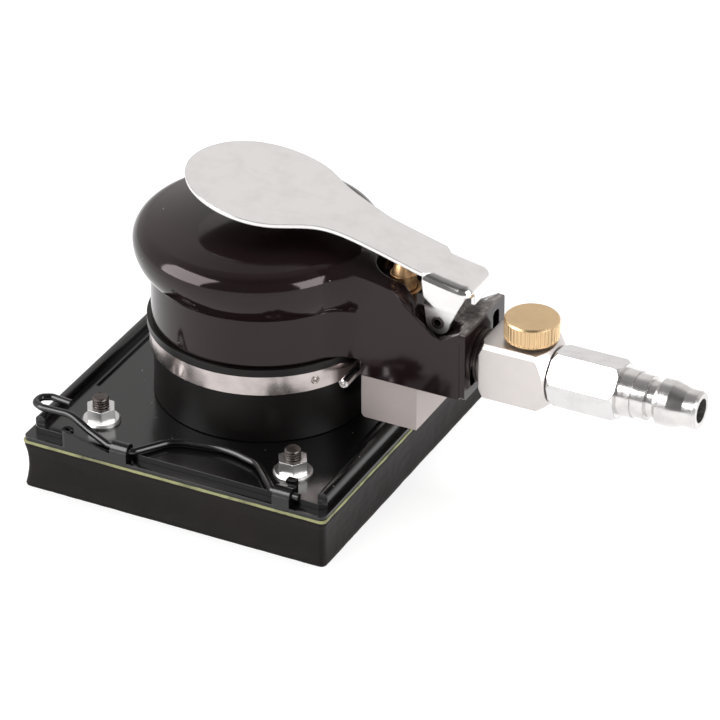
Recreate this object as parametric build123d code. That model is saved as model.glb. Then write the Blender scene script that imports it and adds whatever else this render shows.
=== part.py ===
"""Air-powered orbital sander with a clip-on paper pad, built from its separate pieces.

Millimetres. +Z is up and +X runs from the motor axis towards the air inlet. The origin is on the
motor axis, at the height of the pad's working face. The pad is drawn at one point of its orbit.
"""

from build123d import *
from math import asin, atan2, cos, pi, radians, sin, sqrt
import os

# ---------------------------------------------------------------- driving dimensions

# running gaps and fits
air_gap = 0.3
fit_gap = 0.05
seat_gap = 0.1

# orbit
orbit_offset = 2.0
orbit_angle = 206.0
pad_x = orbit_offset * cos(radians(orbit_angle))
pad_y = orbit_offset * sin(radians(orbit_angle))

# pad stack, upwards from the working face
pad_length = 100.0
pad_width = 110.0
pad_corner = 2.0
foam_thickness = 15.0
foam_overhang = 0.6
backing_thickness = 0.9
backing_overhang = 0.3
plate_thickness = 1.2
tray_thickness = 2.0
backing_z = foam_thickness
plate_z = backing_z + backing_thickness
tray_z = plate_z + plate_thickness
tray_top = tray_z + tray_thickness

# tray
tray_inset_x = 1.5
tray_inset_y = 3.5
rail_width = 3.2
rail_height = 2.8
rail_setback = 1.8
bead_inset = 7.5
bead_length = 46.0
bead_width = 1.2
bead_depth = 0.8
tray_hole_radius = 10.0

# pad studs and flange nuts, M5
stud_pitch_x = 64.0
stud_inset_y = 15.5
stud_radius = 2.5
stud_head_radius = 5.0
stud_head_height = 0.6
stud_reach = 8.2
stud_hole_gap = 0.25
nut_flats = 8.0
nut_flange_radius = 5.9
nut_flange_height = 1.1
nut_height = 5.0

# wire paper clamps and their brackets, placed from the pad centre
wire_radius = 1.1
clamp_setback = 2.2
clamp_z = tray_top + wire_radius + air_gap
arch_clearance = 0.2
small_bend = 2.0
loop_bend = 2.2
leg_bend = 9.0
crown_bend = 24.0
bracket_sheet = 1.0
knuckle_wall = 1.0
knuckle_length = 5.5
left_knuckle_x = -20.5
right_knuckle_x = 33.2
bracket_arm = 15.0
bracket_low_rise = 0.3
bracket_high_rise = 3.5
curl_radius = 1.8
stop_x = 36.0
stop_width = 3.0
stop_depth = 5.0
stop_height = 3.4
notch_depth = 1.5
notch_gap = 0.2
handle_lift = 4.7
handle_loop = 7.6
handle_left = -49.4

# pad hub and its screws
hub_flange_radius = 24.0
hub_flange_height = 3.4
hub_floor_height = 2.1
hub_wall = 3.5
hub_screw_offset = 20.0
hub_screw_radius = 2.0
hub_screw_head = 3.8

# ball bearings: bore radius, outer radius, width, ball radius, ball count
main_bore = 6.0
main_outer = 14.0
main_width = 8.0
main_ball = 2.3
main_balls = 8
top_bore = 5.0
top_outer = 11.0
top_width = 6.0
top_ball = 1.7
top_balls = 9

# crankshaft
web_radius = 12.0
web_gap = 0.5
counterweight_gap = 2.0
counterweight_arc = 150.0
counterweight_inset = 0.6
shoulder_step = 1.4
shoulder_rise = 3.0
washer_radius = 8.0
washer_thickness = 1.4
spindle_screw_radius = 2.5
spindle_head_radius = 4.6
spindle_head_height = 2.2
spindle_depth = 10.0
ring_thickness = 0.8
ring_reach = 1.3

# vane motor
motor_radius = 28.0
sleeve_wall = 6.0
bore_radius = motor_radius - sleeve_wall
bore_shift = 2.1
rotor_gap = 0.1
end_gap = 0.15
motor_length = 16.0
vane_count = 5
vane_thickness = 2.0
vane_depth = 8.5
slot_extra = 0.4
key_size = 3.0
key_length = 12.0
dowel_radius = 1.5
plate_web = 1.4
top_plate_thickness = 4.0
top_plate_web = 3.5
boss_wall = 2.5
lock_ring_height = 2.6
lock_ring_bore = 12.5

# rubber boot and clamp band
skirt_wall = 3.0
boot_wall = 2.6
boot_outer = motor_radius + skirt_wall + boot_wall
boot_waist = 0.3
boot_lip = 1.5
boot_lip_height = 2.4
band_lift = 0.9
band_width = 6.5
band_thickness = 0.9
band_split = 4.3
band_lug = 3.7
band_screw_radius = 1.0
band_head_radius = 1.45
band_head_end = 19.5
band_nut = 3.5

# housing
neck_wall = 5.8
dome_swell = 3.4
dome_shift = -1.8
dome_flare = 9.5
crease_angle = 55.0
crown_rise = 10.0
crown_wall = 2.8
dome_shoulder = 5.8
neck_radius = motor_radius + neck_wall
dome_radius = neck_radius + dome_swell
cavity_gap = 0.8
skirt_drop = 2.7
handle_half = 13.5
handle_gap = 3.4
handle_length = 32.0
handle_drop = 8.5
handle_blend = 12.0
handle_blend_top = 18.0
blend_inset = 0.15
handle_start = boot_outer + boot_lip + handle_gap
handle_end = handle_start + handle_length
saddle_front_drop = 4.4
saddle_mid_drop = 8.8
saddle_rear_drop = 14.0
handle_rear_drop = 17.5
saddle_front_inset = 44.5
saddle_mid_inset = 21.8
saddle_rear_inset = 7.0
ledge_length = 4.2
lug_half = 7.2

# throttle lever; the plan is X and half width, the profile X and height above the top of the dome
pivot_inset = 9.2
pivot_drop = 18.8
pivot_x = handle_end - pivot_inset
lever_sheet = 1.2
lever_gap = 0.3
paddle_front = -23.4
tail_half = lug_half + lever_gap + lever_sheet
lever_plan = [(-16.4, 15.1), (0.4, 21.4), (12.0, 18.9), (24.0, 11.7), (36.0, 8.9)]
lever_profile = [(-26.0, 11.4), (-14.0, 10.2), (0.0, 8.0), (12.0, 6.5), (24.0, 5.2), (36.0, 1.9),
                 (48.0, -1.5), (60.0, -4.5), (70.0, -6.2), (76.0, -7.0)]
tail_corner = 3.9
tail_overhang = 9.9
lever_end = pivot_x + tail_overhang
ear_bend = 2.9
ear_forward = 5.3
ear_backward = 8.1
ear_front = pivot_x - ear_forward
ear_rear = pivot_x + ear_backward
ear_taper = 12.0
ear_radius = 3.8
rear_lip = 5.0
pin_radius = 1.9
pin_bore = 1.15
pin_proud = 0.3

# throttle valve
valve_arm = 15.3
valve_x = pivot_x - valve_arm
valve_drop = 15.0
valve_pocket = 8.0
valve_bore = 5.5
chamber_depth = 23.0
seat_drop = 14.4
button_radius = 3.95
button_height = 4.3
button_lift = 0.3
button_cone = 5.0
button_travel = 1.8
stem_radius = 1.9
stem_drop = 2.5
valve_head_radius = 4.3
valve_head_height = 2.3
seal_height = 0.5
spring_radius = 3.1
spring_wire = 0.35
spring_turns = 4

# air passages
inlet_drop = 1.6
inlet_radius = 4.0
feed_rise = 5.9
feed_radius = 2.6
duct_inner = 7.5
duct_width = 4.0
duct_reach = 2.5
duct_height = 4.0

# silencer
silencer_length = 18.0
silencer_half = 12.5
silencer_height = 14.8
silencer_corner = 1.5
silencer_wall = 2.5
silencer_rear_wall = 5.5
outlet_width = 1.8
outlet_pitch = 3.4
outlet_height = 6.0
felt_height = 8.0
silencer_screw_y = 8.0
silencer_screw_radius = 1.5
silencer_head_radius = 2.6
silencer_head_height = 2.0
silencer_screw_depth = 5.0

# rear plate and inlet bushing
rear_plate_thickness = 1.8
window_y = 7.6
window_width = 4.2
window_height = 6.6
window_pitch = 10.4
window_depth = 3.0
bushing_thread = 6.0
bushing_depth = 9.0
bushing_collar = 8.2
bushing_ring_width = 0.6
bushing_groove = 7.0
bushing_groove_width = 0.5
bushing_collar_width = 1.0
bushing_boss = 7.2
bushing_boss_width = 0.3

# regulator
block_size = 18.4
block_length = 20.6
block_turned = 12.2
block_end = 8.7
block_front = 10.8
plug_wall = 0.5
plug_radius = 3.3
plug_depth = 14.5
knob_radius = 8.2
knob_height = 7.0
knob_lift = 0.8
knob_flutes = 40
knob_plain = 1.2
clip_radius = 5.6
ring_drop = 3.0

# hex adaptor and quick-connect nipple
hex_flats = 16.0
hex_length = 21.0
hex_gap = 0.4
hex_turn = 20.0
hex_chamfer = 0.9
spigot_length = 4.2
thread_length = 6.5
air_bore = 3.6
metering_bore = 2.5
nipple_thread = 4.6
nipple_profile = [(0.0, 7.0), (4.4, 7.0), (4.4, 6.6), (8.6, 6.6), (8.6, 5.4), (11.0, 5.4), (12.2, 6.9),
                  (15.6, 6.9), (20.0, 5.7), (23.4, 5.7), (24.2, 5.2)]

# ---------------------------------------------------------------- heights and stations

# the stack, from the pad hub up to the crown of the dome
screw_room = washer_thickness + spindle_head_height - plate_thickness - air_gap
hub_floor = tray_top + max(hub_floor_height, screw_room)
hub_top = hub_floor + main_width
web_z = hub_top + web_gap
web_top = web_z + main_width
lower_bearing_z = web_top + shoulder_rise
lower_plate_top = lower_bearing_z + main_width + plate_web
motor_top = lower_plate_top + motor_length
upper_bearing_z = motor_top + top_plate_web
upper_bearing_top = upper_bearing_z + top_width
dome_top = upper_bearing_top + ring_thickness + cavity_gap + crown_wall
dome_wide_z = dome_top - crown_rise
dome_root_z = dome_wide_z - dome_flare

# boot and clamp band
skirt_bottom = web_top - skirt_drop
band_z = skirt_bottom + band_lift
boot_top = band_z + band_width + boot_lip_height
band_x = boot_outer + band_thickness + band_head_radius
band_mid_z = band_z + band_width / 2

# handle, lever and valve
inlet_z = lower_plate_top - inlet_drop
feed_z = lower_plate_top + feed_rise
handle_bottom = inlet_z - handle_drop
silencer_bottom = handle_bottom - silencer_height
duct_x = handle_start + duct_reach
saddle_front_x = handle_end - saddle_front_inset
saddle_front_z = dome_top - saddle_front_drop
saddle_mid_x = handle_end - saddle_mid_inset
saddle_mid_z = dome_top - saddle_mid_drop
saddle_rear_x = handle_end - saddle_rear_inset
saddle_rear_z = dome_top - saddle_rear_drop
handle_rear_z = dome_top - handle_rear_drop
pivot_z = dome_top - pivot_drop
valve_floor = dome_top - valve_drop
valve_bottom = valve_floor - chamber_depth
bushing_bottom = valve_floor - seat_drop
stem_top = dome_top - stem_drop

# air inlet
plate_end = handle_end + rear_plate_thickness
collar_start = plate_end + bushing_ring_width + bushing_groove_width
collar_end = collar_start + bushing_collar_width
block_start = collar_end + bushing_boss_width
block_rear = block_start + block_length
regulator_x = block_rear - spigot_length - plug_wall - plug_radius
hex_start = block_rear + hex_gap
hex_end = hex_start + hex_length

# ---------------------------------------------------------------- plain solids


def disc(radius, low, high, x=0.0, y=0.0):
    """Upright cylinder between two heights."""
    upright = Cylinder(radius, high - low, align=(Align.CENTER, Align.CENTER, Align.MIN))
    return Pos(x, y, low) * upright


def tube(outer, inner, low, high, x=0.0, y=0.0):
    """Upright ring between two heights."""
    return disc(outer, low, high, x, y) - disc(inner, low - 1, high + 1, x, y)


def block(x_low, x_high, y_low, y_high, z_low, z_high):
    """Box between two corners."""
    size = (x_high - x_low, y_high - y_low, z_high - z_low)
    return Pos(x_low, y_low, z_low) * Box(*size, align=(Align.MIN, Align.MIN, Align.MIN))


def rod_x(radius, x_low, x_high, y=0.0, z=0.0):
    """Cylinder lying along X."""
    lying = Cylinder(radius, x_high - x_low, align=(Align.CENTER, Align.CENTER, Align.MIN))
    return Pos(x_low, y, z) * Rot(0, 90, 0) * lying


def rod_y(radius, y_low, y_high, x=0.0, z=0.0):
    """Cylinder lying along Y."""
    lying = Cylinder(radius, y_high - y_low, align=(Align.CENTER, Align.CENTER, Align.MIN))
    return Pos(x, y_low, z) * Rot(-90, 0, 0) * lying


def side_prism(points, half):
    """Outline given as X and Z, extruded to both sides of the XZ plane."""
    outline = make_face(Polyline(*[(x, -half, z) for x, z in points], close=True))
    return extrude(outline, 2 * half, dir=(0, 1, 0))


def turned_x(points, x_start, z):
    """Solid of revolution about a line along X; points are distance along it and radius."""
    ends = [(points[0][0], 0.0)] + list(points) + [(points[-1][0], 0.0)]
    outline = make_face(Polyline(*[(x_start + x, r, z) for x, r in ends], close=True))
    return revolve(outline, Axis((x_start, 0, z), (1, 0, 0)))


def polar(radius, angle, x=0.0, y=0.0):
    """Point at a radius and an angle in degrees about a centre."""
    return x + radius * cos(radians(angle)), y + radius * sin(radians(angle))


def bearing(bore, outer, width, ball, count, low, x=0.0, y=0.0):
    """Outer ring, inner ring and balls of one deep-groove bearing."""
    pitch = (bore + outer) / 2
    land = 0.55 * ball
    groove = Pos(x, y, low + width / 2) * Torus(pitch, ball + fit_gap)
    outer_ring = tube(outer, pitch + land, low, low + width, x, y) - groove
    inner_ring = tube(pitch - land, bore, low, low + width, x, y) - groove
    spots = [polar(pitch, 360 * i / count, x, y) for i in range(count)]
    balls = [Pos(px, py, low + width / 2) * Sphere(ball) for px, py in spots]
    return outer_ring, inner_ring, balls


# ---------------------------------------------------------------- pad


def slab(overhang, low, high):
    """Rectangular layer of the pad with rounded corners."""
    outline = RectangleRounded(pad_length + 2 * overhang, pad_width + 2 * overhang, pad_corner)
    return Pos(pad_x, pad_y, low) * extrude(outline, high - low)


def stud_places():
    """Centres of the four studs."""
    return [(pad_x + i * stud_pitch_x / 2, pad_y + j * (pad_width / 2 - stud_inset_y))
            for i in (-1, 1) for j in (-1, 1)]


def pad_studs():
    """Four studs, each with a thin head sunk in the underside of the plate."""
    studs = []
    for x, y in stud_places():
        shank = disc(stud_radius, plate_z, tray_top + stud_reach, x, y)
        shank = chamfer(shank.edges().sort_by(Axis.Z)[-1], 0.5)
        studs.append(shank + disc(stud_head_radius, plate_z, plate_z + stud_head_height, x, y))
    return studs


def pad_plate(studs):
    """Steel plate bonded over the foam, with the studs set in it."""
    return slab(0, plate_z, tray_z) - studs


def rail(side):
    """Rolled rail along one long edge of the tray."""
    outer = pad_x + side * (pad_length / 2 - tray_inset_x)
    inner = outer - side * rail_width
    half = pad_width / 2 - tray_inset_y - rail_setback
    body = block(min(outer, inner), max(outer, inner), pad_y - half, pad_y + half,
                 tray_top, tray_top + rail_height)
    rounded = fillet(body.edges().filter_by(Axis.Y).group_by(Axis.Z)[-1], rail_width * 0.42)
    return rounded


def clamp_tray():
    """Pressed tray that carries the paper clamps and the hub."""
    half_x = pad_length / 2 - tray_inset_x
    half_y = pad_width / 2 - tray_inset_y
    tray = block(pad_x - half_x, pad_x + half_x, pad_y - half_y, pad_y + half_y, tray_z, tray_top)
    tray = chamfer(tray.edges().filter_by(Axis.Z), rail_setback)
    tray += [rail(-1), rail(1)]
    for x, y in stud_places():
        tray -= disc(stud_radius + stud_hole_gap, tray_z - 1, tray_top + 1, x, y)
    for side in (-1, 1):
        bead_x = pad_x + side * (pad_length / 2 - bead_inset)
        tray -= block(bead_x - bead_width / 2, bead_x + bead_width / 2, pad_y - bead_length / 2,
                      pad_y + bead_length / 2, tray_top - bead_depth, tray_top + 1)
    for rear in (False, True):
        for x in (left_knuckle_x, right_knuckle_x):
            notch = block(x - notch_gap, x + knuckle_length + notch_gap, -half_y - 1, -half_y + notch_depth,
                          tray_z - 1, tray_top + 1)
            tray -= pad_placed(notch, rear)
    return tray - disc(tray_hole_radius, tray_z - 1, tray_top + 1, pad_x, pad_y)


def flange_nuts():
    """Four hexagon nuts with built-in washers."""
    nuts = []
    for x, y in stud_places():
        hexagon = extrude(RegularPolygon(nut_flats / 2, 6, major_radius=False), nut_height)
        cone = Cone(nut_flange_radius + nut_height, nut_flats / 2 + 0.5, nut_height,
                    align=(Align.CENTER, Align.CENTER, Align.MIN))
        turned = hexagon & cone
        flange = disc(nut_flange_radius, 0, nut_flange_height)
        flange = chamfer(flange.edges().sort_by(Axis.Z)[-1], nut_flange_height / 2)
        nut = turned + flange - disc(stud_radius, -1, nut_height + 1)
        nuts.append(Pos(x, y, tray_top) * nut)
    return nuts


# ---------------------------------------------------------------- wire paper clamps


def pad_placed(shape, rear):
    """Shape drawn about the pad centre, moved to the front edge or turned to the rear edge."""
    turn = 180 if rear else 0
    return Pos(pad_x, pad_y, 0) * Rot(0, 0, turn) * shape


def clamp_line():
    """Distance from the pad centre to the line that a paper clamp turns about."""
    return pad_width / 2 - clamp_setback


def paper_clamp(rear):
    """Spring wire: a bowed bar across the paper, two straight pivots and a looped handle."""
    y = -clamp_line()
    bow = -(boot_outer + 2 * orbit_offset + wire_radius + arch_clearance)
    depth = bow - y
    top = clamp_z + handle_lift
    left_end = left_knuckle_x
    left_out = left_knuckle_x + knuckle_length + wire_radius
    right_in = right_knuckle_x - wire_radius
    right_end = right_knuckle_x + knuckle_length + 2 * wire_radius
    span = right_in - left_out
    rise = handle_lift / 4
    loop = handle_loop
    points = [
        (right_end, y, clamp_z), (right_in, y, clamp_z), (left_out + 0.78 * span, bow - 0.25 * depth, clamp_z),
        (left_out + 0.52 * span, bow, clamp_z), (left_out + 0.17 * span, bow - 0.22 * depth, clamp_z),
        (left_out, y, clamp_z), (left_end - 0.2 * loop, y, clamp_z),
        (left_end - 1.2 * loop, y + 0.25 * loop, clamp_z + 1.6 * rise),
        (left_end - 2.1 * loop, y + 0.45 * loop, top), (handle_left + 0.4 * loop, y + 0.4 * loop, top),
        (handle_left, y + 0.6 * loop, top), (handle_left, y + 1.05 * loop, top),
        (handle_left + 0.4 * loop, y + 1.26 * loop, top), (handle_left + 1.3 * loop, y + 1.16 * loop, top)]
    radii = [small_bend, leg_bend, crown_bend, leg_bend, small_bend, loop_bend, leg_bend, leg_bend, loop_bend,
             small_bend, loop_bend, loop_bend]
    path = FilletPolyline(*points, radius=radii)
    start = Plane(origin=points[0], z_dir=(-1, 0, 0))
    wire = sweep(start * Circle(wire_radius), path=path)
    return pad_placed(wire, rear)


def knuckle(x):
    """Rolled eye round the wire, with the web that joins it to the plate below."""
    y = -clamp_line()
    outer = wire_radius + fit_gap + knuckle_wall
    end = x + knuckle_length
    web = block(x, end, bracket_front(), bracket_back(), tray_z, clamp_z)
    eye = rod_x(wire_radius + fit_gap, x - 1, end + 1, y, clamp_z)
    return web + rod_x(outer, x, end, y, clamp_z) - eye


def bracket_front():
    """Front face of the clamp brackets, seen from the pad centre."""
    return -clamp_line() - wire_radius - air_gap - bracket_sheet


def bracket_back():
    """Rear face of the bracket feet, just clear of the tray's front edge."""
    return -pad_width / 2 + tray_inset_y - seat_gap


def left_bracket():
    """Upright sheet that falls towards the knuckle, with its far end curled."""
    front = bracket_front()
    far = left_knuckle_x - bracket_arm
    near = left_knuckle_x + bracket_sheet
    low = tray_top + bracket_low_rise
    high = tray_top + bracket_high_rise
    outline = make_face(Polyline((far, front, tray_z), (near, front, tray_z), (near, front, low),
                                 (left_knuckle_x, front, low), (far, front, high), close=True))
    sheet = extrude(outline, bracket_sheet, dir=(0, 1, 0))
    base = block(far, near, front, bracket_back(), tray_z, tray_z + bracket_sheet)
    curl = tube(curl_radius, curl_radius - bracket_sheet, tray_z, high, far, front + curl_radius)
    gap = block(far, far + 2 * curl_radius, front + bracket_sheet, front + curl_radius,
                tray_z + bracket_sheet, high + 1)
    return sheet + base + (curl - gap) + knuckle(left_knuckle_x)


def right_bracket():
    """Knuckle with an upright stop beside it on the tray."""
    front = -clamp_line() + wire_radius
    back = front + stop_depth
    low = stop_x - stop_width / 2
    high = stop_x + stop_width / 2
    foot = block(low, high, front, back, tray_top, tray_top + bracket_sheet)
    stand = block(low, high, back - bracket_sheet, back, tray_top, tray_top + stop_height)
    lip_top = tray_top + stop_height
    lip = block(low, high, back - 2 * bracket_sheet, back, lip_top - bracket_sheet, lip_top)
    return knuckle(right_knuckle_x) + foot + stand + lip


def clamp_brackets(rear):
    """Two brackets of one paper clamp."""
    return [pad_placed(left_bracket(), rear), pad_placed(right_bracket(), rear)]


# ---------------------------------------------------------------- hub and crankshaft

def pad_hub():
    """Bearing housing that stands on the tray."""
    hub = disc(main_outer + hub_wall, tray_top, hub_top, pad_x, pad_y)
    hub += disc(hub_flange_radius, tray_top, tray_top + hub_flange_height, pad_x, pad_y)
    hub -= disc(main_outer, hub_floor, hub_top + 1, pad_x, pad_y)
    hub -= disc(washer_radius + 2.0, tray_top - 1, hub_floor + 1, pad_x, pad_y)
    return hub


def hub_screws():
    """Four countersunk screws up through the tray into the hub flange."""
    screws = []
    for i in range(4):
        x, y = polar(hub_screw_offset, 45 + 90 * i, pad_x, pad_y)
        head = Pos(x, y, tray_z) * Cone(hub_screw_head, hub_screw_radius, tray_thickness,
                                        align=(Align.CENTER, Align.CENTER, Align.MIN))
        screws.append(head + disc(hub_screw_radius, tray_z, tray_top + hub_flange_height, x, y))
    return screws


def crankshaft():
    """Motor shaft, crank web and offset stub in one forging."""
    shaft = disc(main_bore, web_z, upper_bearing_z)
    shaft += disc(top_bore, upper_bearing_z, upper_bearing_top + ring_thickness + 0.4)
    shaft += disc(main_bore + shoulder_step, web_top, lower_bearing_z)
    shaft += disc(web_radius, web_z, web_top)
    shaft += disc(main_bore + shoulder_step, hub_top, web_z, pad_x, pad_y)
    shaft += disc(main_bore, hub_floor, hub_top, pad_x, pad_y)
    shaft -= disc(spindle_screw_radius, hub_floor - 1, hub_floor + spindle_depth, pad_x, pad_y)
    shaft -= tube(top_bore + 1, top_bore - 0.5, upper_bearing_top, upper_bearing_top + ring_thickness)
    shaft -= key_block()
    return shaft


def counterweight():
    """Half-moon weight opposite the stub."""
    low, high = web_z + counterweight_inset, web_top - counterweight_inset
    outer = motor_radius - counterweight_gap
    ring = tube(outer, web_radius, low, high)
    away = orbit_angle + 180
    reach = 2 * outer
    corners = [polar(reach, away + counterweight_arc / 2 * k) for k in (-1, -0.5, 0, 0.5, 1)]
    wedge = make_face(Polyline((0, 0), *corners, close=True))
    return ring & (Pos(0, 0, low) * extrude(wedge, high - low))


def spindle_washer():
    """Washer under the pad bearing's inner ring."""
    return tube(washer_radius, spindle_screw_radius, hub_floor - washer_thickness, hub_floor, pad_x, pad_y)


def spindle_screw():
    """Button-head screw that holds the stub in the pad bearing."""
    seat = hub_floor - washer_thickness
    head = disc(spindle_head_radius, seat - spindle_head_height, seat, pad_x, pad_y)
    head = fillet(head.edges().sort_by(Axis.Z)[0], spindle_head_height * 0.6)
    socket = extrude(RegularPolygon(1.5, 6, major_radius=False), spindle_head_height * 0.6)
    head -= Pos(pad_x, pad_y, seat - spindle_head_height) * socket
    return head + disc(spindle_screw_radius, seat, hub_floor + spindle_depth, pad_x, pad_y)


def shaft_ring():
    """Retaining ring in the groove at the top of the shaft."""
    ring = tube(top_bore + ring_reach, top_bore - 0.5, upper_bearing_top, upper_bearing_top + ring_thickness)
    return ring - block(0, 2 * top_bore, -1, 1, upper_bearing_top - 1, upper_bearing_top + 2)


# ---------------------------------------------------------------- vane motor


def key_block():
    """Key between the shaft and the rotor."""
    middle = lower_plate_top + motor_length / 2
    return block(main_bore - key_size / 2, main_bore + key_size / 2, -key_size / 2, key_size / 2,
                 middle - key_length / 2, middle + key_length / 2)


def rotor_radius():
    """Rotor radius that just clears the near side of the bore."""
    return bore_radius - bore_shift - rotor_gap


def vane_slab(thickness, depth, low, high, angle):
    """Radial slab that ends at the rotor's rim."""
    rim = rotor_radius() - rotor_gap
    return Rot(0, 0, angle) * block(rim - depth, rim, -thickness / 2, thickness / 2, low, high)


def rotor():
    """Slotted rotor keyed to the shaft."""
    low, high = lower_plate_top + end_gap, motor_top - end_gap
    body = tube(rotor_radius(), main_bore, low, high)
    for i in range(vane_count):
        slot = vane_slab(vane_thickness + 2 * fit_gap, vane_depth + slot_extra, low - 1, high + 1,
                         360 * (i + 0.5) / vane_count)
        body -= slot + Rot(0, 0, 360 * (i + 0.5) / vane_count) * block(
            rotor_radius() - 1, rotor_radius() + 1, -vane_thickness / 2 - fit_gap,
            vane_thickness / 2 + fit_gap, low - 1, high + 1)
    return body - key_block()


def rotor_vanes():
    """Five vanes, lying back in their slots as they do at rest."""
    low, high = lower_plate_top + end_gap, motor_top - end_gap
    return [vane_slab(vane_thickness, vane_depth, low, high, 360 * (i + 0.5) / vane_count)
            for i in range(vane_count)]


def dowel():
    """Pin that lines up the motor plates, the sleeve and their air ports."""
    y = -(motor_radius + bore_radius - bore_shift) / 2
    return disc(dowel_radius, lower_plate_top - 3, motor_top + 3, 0, y)


def feed_passage(x_low, x_high):
    """Air passage from the valve to the motor."""
    return rod_x(feed_radius, x_low, x_high, 0, feed_z)


def exhaust_ducts(x_low, x_high, z_low, z_high):
    """Pair of exhaust openings, one on each side of the valve."""
    outer = duct_inner + duct_width
    return (block(x_low, x_high, duct_inner, outer, z_low, z_high)
            + block(x_low, x_high, -outer, -duct_inner, z_low, z_high))


def cylinder_sleeve():
    """Motor sleeve with an off-centre bore and its ports."""
    sleeve = disc(motor_radius, lower_plate_top, motor_top)
    sleeve -= disc(bore_radius, lower_plate_top - 1, motor_top + 1, 0, bore_shift)
    sleeve -= feed_passage(bore_radius / 2, motor_radius + 1)
    duct_low = feed_z - duct_height / 2
    sleeve -= exhaust_ducts(bore_radius / 2, motor_radius + 1, duct_low, duct_low + duct_height)
    return sleeve - dowel()


def lower_end_plate():
    """Motor plate that holds the lower bearing."""
    plate = disc(motor_radius, lower_bearing_z, lower_plate_top)
    plate -= disc(main_outer, lower_bearing_z - 1, lower_bearing_z + main_width)
    plate -= disc(main_bore + 1, lower_bearing_z, lower_plate_top + 1)
    return plate - dowel()


def upper_end_plate():
    """Motor plate with the boss of the upper bearing."""
    plate = disc(motor_radius, motor_top, motor_top + top_plate_thickness)
    plate += disc(top_outer + boss_wall, motor_top, upper_bearing_top)
    plate -= disc(top_outer, upper_bearing_z, upper_bearing_top + 1)
    plate -= disc(main_bore + 0.5, motor_top - 1, upper_bearing_z + 1)
    return plate - dowel()


def lock_ring():
    """Threaded ring that holds the motor in the housing, with four spanner notches."""
    low = lower_bearing_z - lock_ring_height
    ring = tube(motor_radius, lock_ring_bore, low, lower_bearing_z)
    for i in range(4):
        notch = block(motor_radius - 5, motor_radius - 2, -1.5, 1.5, low - 1, low + 1.5)
        ring -= Rot(0, 0, 90 * i + 45) * notch
    return ring


# ---------------------------------------------------------------- boot and clamp band

def rubber_boot():
    """Rubber skirt between the housing and the tray."""
    inner = boot_outer - boot_wall
    low = tray_top + air_gap
    inner_top = skirt_bottom - 0.5
    middle = (low + band_z) / 2
    inner_middle = (low + inner_top) / 2
    outline = make_face(
        Polyline((inner, 0, low), (boot_outer, 0, low))
        + ThreePointArc((boot_outer, 0, low), (boot_outer - boot_waist, 0, middle), (boot_outer, 0, band_z))
        + Polyline((boot_outer, 0, band_z), (boot_outer, 0, band_z + band_width),
                   (boot_outer + boot_lip, 0, band_z + band_width), (boot_outer + boot_lip, 0, boot_top),
                   (inner, 0, boot_top), (inner, 0, inner_top))
        + ThreePointArc((inner, 0, inner_top), (inner - boot_waist, 0, inner_middle), (inner, 0, low)))
    return revolve(outline, Axis.Z)


def clamp_band():
    """Split steel band with two turned-out lugs."""
    outer = boot_outer + band_thickness
    top = band_z + band_width
    band = tube(outer, boot_outer, band_z, top)
    band -= block(0, outer + 1, -band_split, band_split, band_z - 1, top + 1)
    root = sqrt(boot_outer ** 2 - band_split ** 2)
    for side in (-1, 1):
        inner, edge = side * band_split, side * (band_split + band_thickness)
        lug = block(root, outer + band_lug, min(inner, edge), max(inner, edge), band_z, top)
        band += lug - disc(boot_outer, band_z - 1, top + 1)
    return band - rod_y(band_screw_radius, -band_split - 2, band_split + 2, band_x, band_mid_z)


def clamp_screw():
    """Long-headed screw through the lugs, with its nut."""
    face = band_split + band_thickness
    head = rod_y(band_head_radius, -band_head_end, -face, band_x, band_mid_z)
    head = chamfer(head.edges().sort_by(Axis.Y)[0], 0.3)
    head -= rod_y(0.7, -band_head_end - 1, -band_head_end + 2, band_x, band_mid_z)
    shank = rod_y(band_screw_radius, -face, face + band_nut, band_x, band_mid_z)
    half = band_head_radius
    nut = block(band_x - half, band_x + half, face, face + band_nut, band_mid_z - half, band_mid_z + half)
    return head + shank + nut


# ---------------------------------------------------------------- housing


def dome_ring(z):
    """Centre and radius of the dome's ring at a height: crease, swell, widest ring and shoulder."""
    if z > dome_wide_z:
        return dome_shift, dome_radius - dome_shoulder + sqrt(dome_shoulder ** 2 - (z - dome_wide_z) ** 2)
    crease = radians(crease_angle)
    tilt = asin(sin(crease) * (dome_wide_z - z) / dome_flare)
    share = (cos(tilt) - cos(crease)) / (1 - cos(crease))
    return dome_shift * share, neck_radius + dome_swell * share


def dome():
    """Grip dome: it swells and moves forward above the neck, then closes in a round crown."""
    levels = [dome_wide_z - dome_flare * sin(radians(90 * i / 6)) for i in range(6, -1, -1)]
    rings = [dome_ring(z) for z in levels]
    side = loft([Pos(x, 0, z) * Circle(radius) for (x, radius), z in zip(rings, levels)])
    rise = crown_rise
    centre = dome_radius - dome_shoulder
    crown_radius = (centre ** 2 + rise ** 2 - dome_shoulder ** 2) / (2 * (rise - dome_shoulder))
    lean = atan2(centre, crown_radius - rise)
    join = (crown_radius * sin(lean), dome_top - crown_radius * (1 - cos(lean)))
    halfway = (lean + pi / 2) / 2
    bend = (centre + dome_shoulder * sin(halfway), dome_wide_z + dome_shoulder * cos(halfway))
    crown = (crown_radius * sin(lean / 2), dome_top - crown_radius * (1 - cos(lean / 2)))
    shoulder = ThreePointArc((dome_radius, 0, dome_wide_z), (bend[0], 0, bend[1]), (join[0], 0, join[1]))
    top = ThreePointArc((join[0], 0, join[1]), (crown[0], 0, crown[1]), (0, 0, dome_top))
    closing = Polyline((0, 0, dome_top), (0, 0, dome_wide_z), (dome_radius, 0, dome_wide_z))
    return side + Pos(dome_shift, 0, 0) * revolve(make_face(shoulder + top + closing), Axis.Z)


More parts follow.
